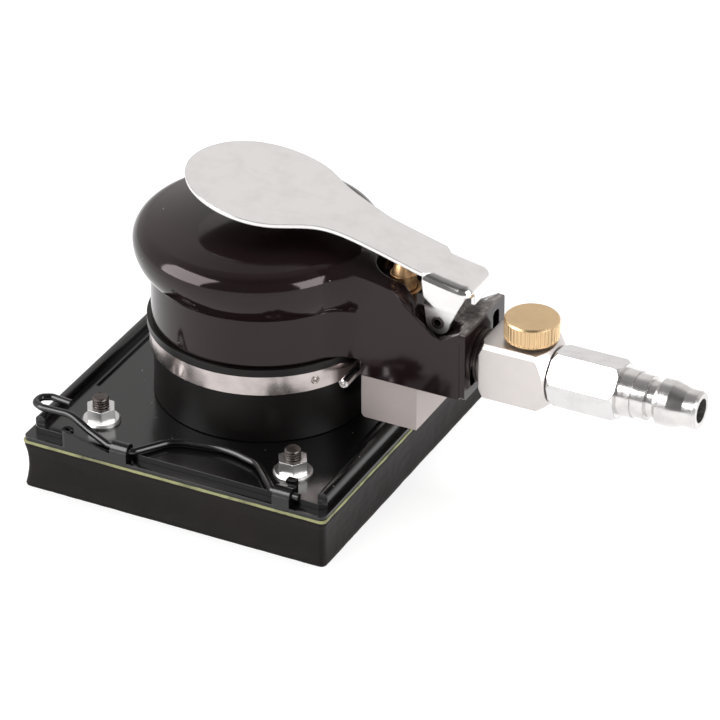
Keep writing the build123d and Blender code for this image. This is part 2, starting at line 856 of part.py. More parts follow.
def handle_plan(ring, blend):
    """Plan of a ring with the handle blended into it."""
    joined = Pos(ring[0], 0) * Circle(ring[1])
    joined += Pos(handle_end / 2, 0) * Rectangle(handle_end, 2 * handle_half)
    inner = [v for v in joined.vertices() if 0 < v.X < handle_end - 1]
    return fillet(inner, blend)


def upper_handle():
    """Dome and handle flowing into each other above the neck."""
    levels = [dome_wide_z - dome_flare * sin(radians(90 * i / 5)) for i in range(5, -1, -1)]
    levels += [dome_wide_z + 0.5 * dome_shoulder, dome_wide_z + 0.85 * dome_shoulder]
    sections = []
    for z in levels:
        x, radius = dome_ring(z)
        share = x / dome_shift
        blend = handle_blend + share * (handle_blend_top - handle_blend)
        sections.append(Pos(0, 0, z) * handle_plan((x, radius - blend_inset), blend))
    return loft(sections)


def handle():
    """Handle with its saddle under the lever."""
    neck = handle_plan((0, neck_radius), handle_blend)
    lower = Pos(0, 0, handle_bottom) * extrude(neck, dome_root_z - handle_bottom)
    reach = dome_radius - dome_shift + 1
    step = boot_top + air_gap
    side = [(-reach, step), (handle_start, step), (handle_start, handle_bottom), (handle_end, handle_bottom),
            (handle_end, handle_rear_z), (handle_end - ledge_length, handle_rear_z),
            (saddle_rear_x, saddle_rear_z), (saddle_mid_x, saddle_mid_z),
            (saddle_front_x, saddle_front_z), (-reach, saddle_front_z)]
    return (lower + upper_handle()) & side_prism(side, reach)


def side_face(points, y):
    """Flat face in a plane along the handle, from points of X and Z."""
    corners = [(x, y, z) for x, z in points]
    return make_face(Polyline(*corners, corners[0]))


def ear_pocket():
    """Pockets beside the lug where the ears swing, opening to the sides through sloping flanks."""
    rise = saddle_front_z
    room = ear_radius + 2 * lever_gap
    slot_half = tail_half + lever_gap
    rim = [(saddle_mid_x - 4, rise), (pivot_x - 9, pivot_z + 6.2), (pivot_x + 0.9, pivot_z - 1.8),
           (pivot_x + 3.6, pivot_z - 2.5), (pivot_x + 6, pivot_z - 1), (handle_end + 1, handle_rear_z + 0.2),
           (handle_end + 1, rise)]
    slot = [(saddle_mid_x - 2, rise), (ear_front - 2.6, pivot_z + 5.8),
            (pivot_x - room * 0.94, pivot_z - room * 0.34), (pivot_x, pivot_z - room),
            (pivot_x + room * 0.75, pivot_z - room * 0.66), (handle_end - 1.2, handle_rear_z),
            (handle_end - 1.2, rise)]
    cut = side_prism(slot, slot_half) + rod_y(room, -slot_half, slot_half, pivot_x, pivot_z)
    cut -= block(0, handle_end + 5, -lug_half, lug_half, 0, rise + 5)
    for side in (-1, 1):
        faces = [side_face(slot, side * slot_half), side_face(rim, side * (handle_half + 0.2))]
        cut += loft(faces, ruled=True)
    return cut


def motor_housing():
    """Cast housing: skirt, neck, dome, handle, motor bore and air passages."""
    body = dome() + handle() + disc(boot_outer - boot_wall, skirt_bottom, dome_root_z)
    body -= ear_pocket()
    body -= disc(valve_pocket, valve_floor, dome_top + 1, valve_x)
    body -= block(valve_x, handle_end + 1, -lug_half - 1, lug_half + 1, valve_floor, dome_top)
    body -= disc(motor_radius, skirt_bottom - 1, motor_top + top_plate_thickness)
    body -= disc(top_outer + boss_wall + 0.2, motor_top, upper_bearing_top + ring_thickness + cavity_gap)
    body -= disc(valve_bore, valve_bottom, valve_floor + 1, valve_x)
    body -= rod_x(inlet_radius, valve_x, handle_end + 1, 0, inlet_z)
    body -= rod_x(bushing_thread, handle_end - bushing_depth, handle_end + 1, 0, inlet_z)
    body -= feed_passage(motor_radius - 2, valve_x)
    duct_low = feed_z - duct_height / 2
    body -= exhaust_ducts(motor_radius - 5, duct_x + duct_width, duct_low, duct_low + duct_height)
    body -= exhaust_ducts(duct_x, duct_x + duct_width, handle_bottom - 1, feed_z)
    body -= rod_y(pin_radius, -lug_half - 1, lug_half + 1, pivot_x, pivot_z)
    for window in rear_windows(handle_end - window_depth):
        body -= window
    for x, y in silencer_screw_places():
        body -= disc(silencer_screw_radius, handle_bottom - 1, handle_bottom + silencer_screw_depth, x, y)
    return body


# ---------------------------------------------------------------- lever


def lever_outline():
    """Plan of the spoon: an oval paddle that narrows into the tail and runs out in the bend of the ears."""
    left = [(x, -y) for x, y in reversed(lever_plan)]
    edge = Spline((ear_front, -tail_half), *left, (paddle_front, 0), *lever_plan, (ear_front, tail_half),
                  tangents=[(-1, 0), (1, 0)])
    end = ear_front + ear_bend
    tip = Polyline((ear_front, tail_half), (end, tail_half - ear_bend), (end, ear_bend - tail_half),
                   (ear_front, -tail_half))
    return make_face(edge + tip)


def lever_mould(drop, low):
    """Solid below the lever's top profile, lowered by a drop."""
    side = 2 * paddle_front
    top = Spline(*[(x, side, dome_top + z - drop) for x, z in lever_profile])
    first, last = top @ 0, top @ 1
    under = make_face(top + Polyline(last, (last.X, side, low), (first.X, side, low), first))
    return extrude(under, -2 * side, dir=(0, 1, 0))


def tail_loaf(inset):
    """Solid under the skin of the tail, with the bends of the ears along its top."""
    front = ear_front - 2 * ear_bend
    end = lever_end - inset
    low = pivot_z - 2 * ear_radius
    plan = Pos((front + end) / 2, 0) * Rectangle(end - front, 2 * (tail_half - inset))
    plan = fillet([v for v in plan.vertices() if v.X > pivot_x], tail_corner - inset)
    solid = Pos(0, 0, low) * extrude(plan, dome_top) & lever_mould(inset, low - 1)
    rim = [e for e in solid.edges() if (e @ 0.5).Z > pivot_z + ear_radius and e.geom_type != GeomType.LINE]
    return fillet(rim, ear_bend - inset)


def throttle_lever():
    """Pressed lever: flat spoon, a tail with two bent ears, and a turned-down rear lip."""
    reach = -2 * paddle_front
    roof = 2 * dome_top
    spoon = extrude(lever_outline(), roof, dir=(0, 0, 1)) & (lever_mould(0, 0) - lever_mould(lever_sheet, -1))
    skin = tail_loaf(0) - tail_loaf(lever_sheet)
    above = block(ear_front, 2 * lever_end, -reach, reach, 0, roof) - lever_mould(ear_bend, -1)
    ear = [(ear_front, roof), (ear_front, pivot_z + ear_taper), (pivot_x - ear_radius, pivot_z),
           (pivot_x + ear_radius, pivot_z), (ear_rear, pivot_z + 0.75 * ear_taper), (ear_rear, roof)]
    ears = side_prism(ear, reach) + rod_y(ear_radius, -reach, reach, pivot_x, pivot_z)
    lip_half = tail_half - tail_corner
    lip_z = dome_top + lever_profile[-2][1] - lever_sheet - rear_lip
    lip = block(lever_end - 2 * lever_sheet, lever_end + 1, -lip_half, lip_half, lip_z, roof)
    shaped = spoon + (skin & (above + ears + lip))
    return shaped - rod_y(pin_radius + fit_gap, -reach, reach, pivot_x, pivot_z)


def lever_pin():
    """Hollow spring pin through the handle lug."""
    end = tail_half + pin_proud
    pin = rod_y(pin_radius, -end, end, pivot_x, pivot_z)
    return pin - rod_y(pin_bore, -end - 1, end + 1, pivot_x, pivot_z)


# ---------------------------------------------------------------- throttle valve


def valve_bushing():
    """Brass bushing that guides the stem, takes the pressed button and carries the valve seat."""
    body = disc(valve_bore, bushing_bottom, valve_floor, valve_x)
    body -= disc(button_radius + air_gap, valve_floor - button_travel, valve_floor + 1, valve_x)
    body -= disc(stem_radius + fit_gap, bushing_bottom - 1, valve_floor, valve_x)
    body -= disc(valve_bore - 1.4, bushing_bottom + 1.5, valve_floor - 4, valve_x)
    body -= disc(valve_bore - 2.2, bushing_bottom - 1, bushing_bottom + 2, valve_x)
    return body - feed_passage(valve_x - valve_bore - 1, valve_x)


def valve_stem():
    """Brass stem with its button and the valve head below the seat."""
    head_top = bushing_bottom - seat_gap - seal_height
    button = valve_floor + button_lift + button_height
    stem = disc(stem_radius, head_top, stem_top, valve_x)
    stem += disc(button_radius, valve_floor + button_lift, button, valve_x)
    stem += Pos(valve_x, 0, button) * Cone(button_radius - 0.3, stem_radius, button_cone,
                                           align=(Align.CENTER, Align.CENTER, Align.MIN))
    stem = fillet(stem.edges().sort_by(Axis.Z)[-1], stem_radius * 0.6)
    return stem + disc(valve_head_radius, head_top - valve_head_height, head_top, valve_x)


def valve_seal():
    """Rubber face seal on top of the valve head."""
    low = bushing_bottom - seat_gap - seal_height
    return tube(valve_head_radius, stem_radius, low, low + seal_height, valve_x)


def valve_spring():
    """Return spring under the valve head."""
    top = bushing_bottom - seat_gap - seal_height - valve_head_height
    low, high = valve_bottom + spring_wire, top - spring_wire
    path = Helix((high - low) / spring_turns, high - low, spring_radius)
    start = Plane(origin=path @ 0, z_dir=path % 0)
    coil = sweep(start * Circle(spring_wire), path=path)
    return Pos(valve_x, 0, low) * coil


# ---------------------------------------------------------------- silencer


def silencer_end():
    """X of the silencer's rear face."""
    return handle_start + silencer_length


def silencer_screw_places():
    """Centres of the two silencer screws."""
    x = silencer_end() - silencer_rear_wall / 2
    return [(x, -silencer_screw_y), (x, silencer_screw_y)]


def silencer_cavity(gap, high):
    """Chamber of the silencer, drawn smaller by a gap."""
    return block(handle_start + silencer_wall + gap, silencer_end() - silencer_rear_wall - gap,
                 -silencer_half + silencer_wall + gap, silencer_half - silencer_wall - gap,
                 silencer_bottom + silencer_wall, high)


def silencer_body():
    """Cast block under the handle with three outlet slots on its far side."""
    body = block(handle_start, silencer_end(), -silencer_half, silencer_half, silencer_bottom, handle_bottom)
    body = fillet(body.edges().filter_by(Axis.Y).group_by(Axis.Z)[0].sort_by(Axis.X)[0], silencer_corner)
    body -= silencer_cavity(0, handle_bottom + 1)
    for i in range(3):
        x = handle_start + silencer_wall + (i + 0.4) * outlet_pitch
        z = silencer_bottom + silencer_wall + outlet_width
        body -= block(x, x + outlet_width, silencer_half - silencer_wall - 1, silencer_half + 1,
                      z, z + outlet_height)
    for x, y in silencer_screw_places():
        body -= disc(silencer_screw_radius, silencer_bottom - 1, handle_bottom + 1, x, y)
        body -= disc(silencer_head_radius, silencer_bottom - 1, silencer_bottom + silencer_head_height, x, y)
    return body


def silencer_felt():
    """Felt pad in the silencer."""
    return silencer_cavity(0, silencer_bottom + silencer_wall + felt_height)


def silencer_screws():
    """Two screws up into the handle."""
    screws = []
    for x, y in silencer_screw_places():
        seat = silencer_bottom + silencer_head_height
        head = disc(silencer_head_radius, silencer_bottom + 0.2, seat, x, y)
        socket = extrude(RegularPolygon(1.25, 6, major_radius=False), 1.0)
        head -= Pos(x, y, silencer_bottom + 0.2) * socket
        screws.append(head + disc(silencer_screw_radius, seat, handle_bottom + silencer_screw_depth, x, y))
    return screws


# ---------------------------------------------------------------- air inlet

def rear_windows(start):
    """Two round-cornered windows, set diagonally, from a station back through the rear plate."""
    middle = (handle_bottom + handle_rear_z) / 2
    windows = []
    for side in (-1, 1):
        y, z = side * window_y, middle + side * window_pitch / 2
        window = block(start, plate_end + 1, y - window_width / 2, y + window_width / 2,
                       z - window_height / 2, z + window_height / 2)
        windows.append(fillet(window.edges().filter_by(Axis.X), 1.4))
    return windows


def rear_plate():
    """Plate on the rear of the handle with two windows."""
    plate = block(handle_end, plate_end, -handle_half, handle_half, handle_bottom, handle_rear_z)
    plate = fillet(plate.edges().filter_by(Axis.X), 1.5)
    for window in rear_windows(handle_end - 1):
        plate -= window
    return plate - rod_x(bushing_thread, handle_end - 1, plate_end + 1, 0, inlet_z)


def inlet_bushing():
    """Dark threaded bushing that clamps the rear plate and carries the regulator."""
    start = handle_end - bushing_depth
    end = block_start + spigot_length
    ring_end = plate_end + bushing_ring_width
    profile = [(0, bushing_thread), (plate_end - start, bushing_thread), (plate_end - start, bushing_collar),
               (ring_end - start, bushing_collar), (ring_end - start, bushing_groove),
               (collar_start - start, bushing_groove), (collar_start - start, bushing_collar),
               (collar_end - start, bushing_collar), (collar_end - start, bushing_boss),
               (block_start - start, bushing_boss), (block_start - start, bushing_thread),
               (end - start, bushing_thread)]
    return turned_x(profile, start, inlet_z) - rod_x(air_bore, start - 1, end + 1, 0, inlet_z)


def regulator_body():
    """Square block with turned corners, bored along the air path and across it for the plug."""
    half = block_size / 2
    square = block(block_start, block_rear, -half, half, inlet_z - half, inlet_z + half)
    front = 0.8 * (block_turned - block_front)
    rear = block_length - 0.8 * (block_turned - block_end)
    turned = turned_x([(0, block_front), (front, block_turned), (rear, block_turned), (block_length, block_end)],
                      block_start, inlet_z)
    body = square & turned
    body -= rod_x(metering_bore, block_start - 1, block_rear + 1, 0, inlet_z)
    body -= rod_x(bushing_thread, block_start - 1, block_start + spigot_length, 0, inlet_z)
    body -= rod_x(bushing_thread, block_rear - spigot_length, block_rear + 1, 0, inlet_z)
    return body - disc(plug_radius + fit_gap, inlet_z + half - plug_depth, inlet_z + half + 1, regulator_x)


def regulator_knob():
    """Fluted brass knob on its plug, with the cross hole that meters the air."""
    top = inlet_z + block_size / 2
    low = top + knob_lift
    knob = disc(knob_radius, low, low + knob_height, regulator_x)
    knob = chamfer(knob.edges().sort_by(Axis.Z)[-1], 0.5)
    knob = chamfer(knob.edges().sort_by(Axis.Z)[0], 0.9)
    for i in range(knob_flutes):
        x, y = polar(knob_radius + 0.15, 360 * i / knob_flutes, regulator_x)
        knob -= disc(0.42, low + knob_plain, low + knob_height - 0.6, x, y)
    plug = disc(plug_radius, top - plug_depth + seat_gap, low, regulator_x)
    plug -= rod_x(metering_bore, regulator_x - knob_radius, regulator_x + knob_radius, 0, inlet_z)
    plug -= seal_ring_room()
    clip_room = tube(plug_radius + 1, plug_radius - 0.8, top, low, regulator_x)
    return knob + (plug - clip_room)


def seal_ring_room():
    """Groove of the plug's sealing ring."""
    z = inlet_z + block_size / 2 - ring_drop
    return tube(plug_radius + 1, plug_radius - 1.2, z - 0.9, z + 0.9, regulator_x)


def regulator_seal():
    """Sealing ring round the plug."""
    z = inlet_z + block_size / 2 - ring_drop
    return tube(plug_radius, plug_radius - 1.2, z - 0.7, z + 0.7, regulator_x)


def regulator_clip():
    """Retaining clip between the block and the knob."""
    top = inlet_z + block_size / 2
    clip = tube(clip_radius, plug_radius - 0.8 + fit_gap, top, top + knob_lift - seat_gap, regulator_x)
    return clip - block(regulator_x, regulator_x + clip_radius + 1, -2.6, 2.6, top - 1, top + knob_lift + 1)


def hex_adaptor():
    """Chromed hexagon adaptor between the block and the nipple."""
    corner = hex_flats / sqrt(3)
    bar = extrude(Plane(origin=(hex_start, 0, inlet_z), x_dir=(0, 1, 0), z_dir=(1, 0, 0))
                  * RegularPolygon(hex_flats / 2, 6, major_radius=False, rotation=30 + hex_turn), hex_length)
    turned = turned_x([(0, corner - hex_chamfer), (1.6 * hex_chamfer, corner), (hex_length - 1.6 * hex_chamfer, corner),
                       (hex_length, corner - hex_chamfer)], hex_start, inlet_z)
    body = bar & turned
    body += rod_x(bushing_thread, block_rear - spigot_length, hex_start, 0, inlet_z)
    body -= rod_x(air_bore, block_rear - spigot_length - 1, hex_end + 1, 0, inlet_z)
    return body - rod_x(nipple_thread, hex_end - thread_length, hex_end + 1, 0, inlet_z)


def air_nipple():
    """Quick-connect nipple screwed into the adaptor."""
    body = turned_x(nipple_profile, hex_end, inlet_z)
    body += rod_x(nipple_thread, hex_end - thread_length, hex_end, 0, inlet_z)
    return body - rod_x(air_bore, hex_end - thread_length - 1, hex_end + 2 * hex_length, 0, inlet_z)


# ---------------------------------------------------------------- assembly


def build_parts():
    """Every node of the assembly by name."""
    studs = pad_studs()
    pad_race, pad_inner, pad_balls = bearing(main_bore, main_outer, main_width, main_ball, main_balls,
                                             hub_floor, pad_x, pad_y)
    low_race, low_inner, low_balls = bearing(main_bore, main_outer, main_width, main_ball, main_balls,
                                             lower_bearing_z)
    top_race, top_inner, top_balls_group = bearing(top_bore, top_outer, top_width, top_ball, top_balls,
                                                   upper_bearing_z)
    screws = hub_screws()
    return {
        "foam_pad": slab(foam_overhang, 0, foam_thickness),
        "pad_backing": slab(backing_overhang, backing_z, plate_z),
        "pad_plate": pad_plate(studs),
        "pad_studs": studs,
        "clamp_tray": clamp_tray() - screws,
        "flange_nuts": flange_nuts(),
        "front_clamp_brackets": clamp_brackets(False),
        "rear_clamp_brackets": clamp_brackets(True),
        "front_paper_clamp": paper_clamp(False),
        "rear_paper_clamp": paper_clamp(True),
        "pad_hub": pad_hub() - screws,
        "hub_screws": screws,
        "pad_bearing_outer": pad_race,
        "pad_bearing_inner": pad_inner,
        "pad_bearing_balls": pad_balls,
        "spindle_washer": spindle_washer(),
        "spindle_screw": spindle_screw(),
        "crankshaft": crankshaft(),
        "counterweight": counterweight(),
        "shaft_ring": shaft_ring(),
        "rotor": rotor(),
        "rotor_key": key_block(),
        "rotor_vanes": rotor_vanes(),
        "lower_bearing_outer": low_race,
        "lower_bearing_inner": low_inner,
        "lower_bearing_balls": low_balls,
        "upper_bearing_outer": top_race,
        "upper_bearing_inner": top_inner,
        "upper_bearing_balls": top_balls_group,
        "cylinder_sleeve": cylinder_sleeve(),
        "lower_end_plate": lower_end_plate(),
        "upper_end_plate": upper_end_plate(),
        "motor_dowel": dowel(),
        "lock_ring": lock_ring(),
        "motor_housing": motor_housing(),
        "rubber_boot": rubber_boot(),
        "clamp_band": clamp_band(),
        "clamp_screw": clamp_screw(),
        "throttle_lever": throttle_lever(),
        "lever_pin": lever_pin(),
        "valve_bushing": valve_bushing(),
        "valve_stem": valve_stem(),
        "valve_seal": valve_seal(),
        "valve_spring": valve_spring(),
        "silencer_body": silencer_body(),
        "silencer_felt": silencer_felt(),
        "silencer_screws": silencer_screws(),
        "rear_plate": rear_plate(),
        "inlet_bushing": inlet_bushing(),
        "regulator_body": regulator_body(),
        "regulator_knob": regulator_knob(),
        "regulator_seal": regulator_seal(),
        "regulator_clip": regulator_clip(),
        "hex_adaptor": hex_adaptor(),
        "air_nipple": air_nipple(),
    }


os.makedirs("parts", exist_ok=True)
for name, shape in build_parts().items():
    solids = [solid for one in (shape if isinstance(shape, list) else [shape]) for solid in one.solids()]
    export_step(Compound(children=solids, label=name), f"parts/{name}.step")
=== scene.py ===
"""Palm orbital sander: the visible finish and fine detail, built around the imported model."""

import logging
import math
from collections.abc import Callable, Iterable
from dataclasses import dataclass, field
from enum import Enum
from typing import Any

import bmesh
import bpy
from mathutils import Matrix, Vector


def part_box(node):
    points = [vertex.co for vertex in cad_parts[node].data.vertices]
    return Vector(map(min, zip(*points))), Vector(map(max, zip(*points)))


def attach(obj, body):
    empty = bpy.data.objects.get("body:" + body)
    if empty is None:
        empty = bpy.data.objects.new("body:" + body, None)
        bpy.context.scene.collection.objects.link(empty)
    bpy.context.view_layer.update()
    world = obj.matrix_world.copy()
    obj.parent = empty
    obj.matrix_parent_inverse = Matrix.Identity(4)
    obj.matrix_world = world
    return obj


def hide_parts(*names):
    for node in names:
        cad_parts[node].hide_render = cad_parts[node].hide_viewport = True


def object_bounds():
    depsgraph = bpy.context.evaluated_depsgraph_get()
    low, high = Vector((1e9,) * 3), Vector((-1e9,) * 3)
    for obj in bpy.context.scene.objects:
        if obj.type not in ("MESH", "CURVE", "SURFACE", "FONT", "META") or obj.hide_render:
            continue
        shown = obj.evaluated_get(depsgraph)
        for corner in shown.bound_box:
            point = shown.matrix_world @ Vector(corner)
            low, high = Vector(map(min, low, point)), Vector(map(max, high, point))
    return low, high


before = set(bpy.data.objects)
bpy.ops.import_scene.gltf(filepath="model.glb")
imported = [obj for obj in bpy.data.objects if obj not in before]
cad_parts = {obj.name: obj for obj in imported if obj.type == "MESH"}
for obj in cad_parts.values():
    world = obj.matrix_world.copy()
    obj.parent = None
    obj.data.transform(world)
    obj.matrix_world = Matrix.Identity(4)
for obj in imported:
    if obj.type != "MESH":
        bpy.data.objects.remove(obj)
CAD_LOW, CAD_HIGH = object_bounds()

LOG = logging.getLogger("sander")
MM = 0.001
TURNED_LINES = 9000.0 / math.tau  # lines that a lathe tool leaves per metre
NODES: dict[str, bpy.types.Object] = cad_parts


# ------------------------------------------------------------------ modelling helpers


class Pick(Enum):
    """Kind of mesh element that an edit-mode selection works on."""

    VERTS = "VERT"
    EDGES = "EDGE"
    FACES = "FACE"


def start_piece(name: str) -> bpy.types.Object:
    """Names the primitive that was just added and makes it the only selected object.

    Args:
        name: Name of the new piece.

    Returns:
        The active object.
    """
    piece = bpy.context.object
    bpy.ops.object.select_all(action="DESELECT")
    piece.select_set(True)
    bpy.context.view_layer.objects.active = piece
    piece.name = name
    piece.data.name = name
    return piece


def apply_place(piece: bpy.types.Object) -> None:
    """Puts a piece's place, turn and scale into its mesh."""
    bpy.ops.object.select_all(action="DESELECT")
    piece.select_set(True)
    bpy.context.view_layer.objects.active = piece
    bpy.ops.object.transform_apply(location=True, rotation=True, scale=True)


def edit(piece: bpy.types.Object, pick: Pick) -> None:
    """Opens a piece in edit mode with nothing selected."""
    bpy.context.view_layer.objects.active = piece
    bpy.ops.object.mode_set(mode="EDIT")
    bpy.ops.mesh.select_mode(type=pick.value)
    bpy.ops.mesh.select_all(action="DESELECT")


def close_edit() -> None:
    """Leaves edit mode."""
    bpy.ops.object.mode_set(mode="OBJECT")


def select_where(pick: Pick, test: Callable[[Any], bool]) -> int:
    """Selects the elements of the open mesh that pass a test, and nothing else.

    Args:
        pick: Kind of element to test.
        test: Takes a BMesh vertex, edge or face and says whether it is wanted.

    Returns:
        How many elements were selected.
    """
    bpy.ops.mesh.select_all(action="DESELECT")
    mesh = bmesh.from_edit_mesh(bpy.context.object.data)
    found = {Pick.VERTS: mesh.verts, Pick.EDGES: mesh.edges, Pick.FACES: mesh.faces}[pick]
    chosen = [element for element in found if test(element)]
    for element in chosen:
        element.select_set(True)
    mesh.select_flush_mode()
    bmesh.update_edit_mesh(bpy.context.object.data)
    return len(chosen)


def apply_modifier(piece: bpy.types.Object, kind: str, **settings: Any) -> None:
    """Adds a modifier with its settings and applies it.

    Args:
        piece: Mesh object that gets the modifier.
        kind: Blender's modifier type.
        **settings: Values of the modifier's properties.
    """
    modifier = piece.modifiers.new(kind.title(), kind)
    for key, value in settings.items():
        setattr(modifier, key, value)
    bpy.ops.object.select_all(action="DESELECT")
    piece.select_set(True)
    bpy.context.view_layer.objects.active = piece
    bpy.ops.object.modifier_apply(modifier=modifier.name)


def clean_normals(piece: bpy.types.Object, angle: float = 35.0) -> None:
    """Merges doubles, turns the faces outwards and shades them smooth below an angle.

    Args:
        piece: Closed mesh object.
        angle: Largest angle between faces that still shade smooth, in degrees.
    """
    edit(piece, Pick.VERTS)
    bpy.ops.mesh.select_all(action="SELECT")
    bpy.ops.mesh.remove_doubles(threshold=1e-6)
    bpy.ops.mesh.normals_make_consistent(inside=False)
    close_edit()
    bpy.ops.object.shade_smooth_by_angle(angle=math.radians(angle))


def copy_piece(piece: bpy.types.Object, name: str, shift: Vector) -> bpy.types.Object:
    """Copies a finished piece to another place, with its own mesh.

    Args:
        piece: Piece to copy.
        name: Name of the copy.
        shift: How far the copy stands from the first, in metres.

    Returns:
        The copy, with its place in its mesh.
    """
    bpy.ops.object.select_all(action="DESELECT")
    piece.select_set(True)
    bpy.context.view_layer.objects.active = piece
    bpy.ops.object.duplicate()
    twin = start_piece(name)
    twin.location = shift
    apply_place(twin)
    return twin


def join_pieces(first: bpy.types.Object, others: Iterable[bpy.types.Object]) -> bpy.types.Object:
    """Joins pieces of one finish into the first of them."""
    bpy.ops.object.select_all(action="DESELECT")
    for other in others:
        other.select_set(True)
    first.select_set(True)
    bpy.context.view_layer.objects.active = first
    bpy.ops.object.join()
    return first


# ------------------------------------------------------------------ shader helpers


class Value:
    """A number on a shader socket, which takes part in arithmetic."""

    def __init__(self, surface: "Surface", socket: bpy.types.NodeSocket) -> None:
        """Wraps an output socket of a surface's node tree."""
        self.surface = surface
        self.socket = socket

    def _join(self, operation: str, first: Any, second: Any = None) -> "Value":
        """Adds one Math node and returns its result."""
        inputs = {0: first} if second is None else {0: first, 1: second}
        made = self.surface.node("ShaderNodeMath", {"operation": operation}, inputs)
        return Value(self.surface, made.outputs[0])

    def __add__(self, other: Any) -> "Value":
        """Sum."""
        return self._join("ADD", self, other)

    def __radd__(self, other: Any) -> "Value":
        """Sum, from the right."""
        return self._join("ADD", other, self)

    def __sub__(self, other: Any) -> "Value":
        """Difference."""
        return self._join("SUBTRACT", self, other)

    def __rsub__(self, other: Any) -> "Value":
        """Difference, from the right."""
        return self._join("SUBTRACT", other, self)

    def __mul__(self, other: Any) -> "Value":
        """Product."""
        return self._join("MULTIPLY", self, other)

    def sine(self) -> "Value":
        """Sine of the value."""
        return self._join("SINE", self)

    def above(self, low: float, high: float) -> "Value":
        """Mask that rises from 0 at low to 1 at high."""
        made = self.surface.node("ShaderNodeMapRange", {"clamp": True}, {
            "Value": self, "From Min": low, "From Max": high, "To Min": 0.0, "To Max": 1.0})
        return Value(self.surface, made.outputs["Result"])


class Surface:
    """One material under construction, with a principled shader on its output."""

    def __init__(self, name: str) -> None:
        """Starts an empty node tree with an output and a principled shader."""
        self.material = bpy.data.materials.new(name)
        self.material.use_nodes = True
        self.tree = self.material.node_tree
        self.tree.nodes.clear()
        self.shader = self.node("ShaderNodeBsdfPrincipled", {}, {})
        self.node("ShaderNodeOutputMaterial", {}, {"Surface": self.shader.outputs[0]})
        self.place = self.node("ShaderNodeTexCoord", {}, {}).outputs["Object"]

    def node(self, kind: str, settings: dict[str, Any], inputs: dict[Any, Any]) -> bpy.types.Node:
        """Adds one node.

        Args:
            kind: Blender's node type.
            settings: Properties of the node, which are set first.
            inputs: A value, a socket or a Value for each named or numbered input.

        Returns:
            The new node.
        """
        made = self.tree.nodes.new(kind)
        for key, value in settings.items():
            setattr(made, key, value)
        for key, value in inputs.items():
            source = value.socket if isinstance(value, Value) else value
            if isinstance(source, bpy.types.NodeSocket):
                self.tree.links.new(source, made.inputs[key])
            else:
                made.inputs[key].default_value = source
        return made

    def stretched(self, scale: Vector) -> bpy.types.NodeSocket:
        """Object coordinates, scaled along each axis."""
        made = self.node("ShaderNodeVectorMath", {"operation": "MULTIPLY"},
                         {0: self.place, 1: scale})
        return made.outputs[0]

    def noise(self, size: float, detail: float = 3.0, rough: float = 0.5,
              place: bpy.types.NodeSocket | None = None) -> Value:
        """Soft noise whose blotches are about as wide as size.

        Args:
            size: Width of a blotch in metres.
            detail: Octaves of finer noise.
            rough: Weight of the finer octaves.
            place: Coordinates to read, or None for the object's own.

        Returns:
            The noise, from 0 to 1.
        """
        made = self.node("ShaderNodeTexNoise", {"noise_dimensions": "3D"}, {
            "Vector": place or self.place, "Scale": 1 / size, "Detail": detail, "Roughness": rough})
        return Value(self, made.outputs["Fac"])

    def specks(self, size: float, share: float) -> Value:
        """Mask of small round specks on a jittered lattice of cells as wide as size.

        Args:
            size: Width of a lattice cell in metres.
            share: Radius of a speck as a share of its cell.

        Returns:
            A mask that is 1 inside the specks.
        """
        made = self.node("ShaderNodeTexVoronoi", {"feature": "F1"}, {
            "Vector": self.place, "Scale": 1 / size, "Randomness": 1.0})
        return 1 - Value(self, made.outputs["Distance"]).above(share * 0.6, share)

    def radius_about_z(self) -> Value:
        """Distance from the motor's axis, in metres."""
        flat = self.stretched(Vector((1, 1, 0)))
        made = self.node("ShaderNodeVectorMath", {"operation": "LENGTH"}, {0: flat})
        return Value(self, made.outputs["Value"])

    def along(self, axis: int) -> Value:
        """One of the object coordinates, in metres."""
        parts = self.node("ShaderNodeSeparateXYZ", {}, {0: self.place})
        return Value(self, parts.outputs[axis])

    def blend_colour(self, share: Any, first: Any, second: Any) -> bpy.types.NodeSocket:
        """Colour that goes from first to second as share goes from 0 to 1."""
        made = self.node("ShaderNodeMix", {"data_type": "RGBA"}, {0: share, 6: first, 7: second})
        return made.outputs[2]

    def bump(self, height: Value, depth: float,
             under: bpy.types.NodeSocket | None = None) -> bpy.types.NodeSocket:
        """Normal with a relief of a given depth in metres, on top of another normal."""
        inputs = {"Height": height, "Strength": 1.0, "Distance": depth}
        if under is not None:
            inputs["Normal"] = under
        return self.node("ShaderNodeBump", {}, inputs).outputs[0]

    def soft_edges(self, radius: float) -> bpy.types.NodeSocket:
        """Normal that rounds the edges by a radius in metres."""
        return self.node("ShaderNodeBevel", {"samples": 4}, {"Radius": radius}).outputs[0]

    def edges(self, radius: float) -> Value:
        """Mask that is 1 along sharp edges, over about a radius in metres, and 0 on open faces."""
        flat = self.node("ShaderNodeNewGeometry", {}, {}).outputs["Normal"]
        soft = self.soft_edges(radius)
        made = self.node("ShaderNodeVectorMath", {"operation": "DOT_PRODUCT"}, {0: soft, 1: flat})
        return 1 - Value(self, made.outputs["Value"]).above(0.8, 0.99)

    def set(self, **inputs: Any) -> None:
        """Sets sockets of the principled shader, with _ for each space in their names."""
        for key, value in inputs.items():
            socket = self.shader.inputs[key.replace("_", " ")]
            source = value.socket if isinstance(value, Value) else value
            if isinstance(source, bpy.types.NodeSocket):
                self.tree.links.new(source, socket)
            else:
                socket.default_value = source


def grey(level: float, warmth: float = 0.0) -> tuple[float, float, float, float]:
    """Linear grey with a little red added and a little blue taken away."""
    return (level * (1 + warmth), level, level * (1 - warmth), 1.0)


# ------------------------------------------------------------------ finishes


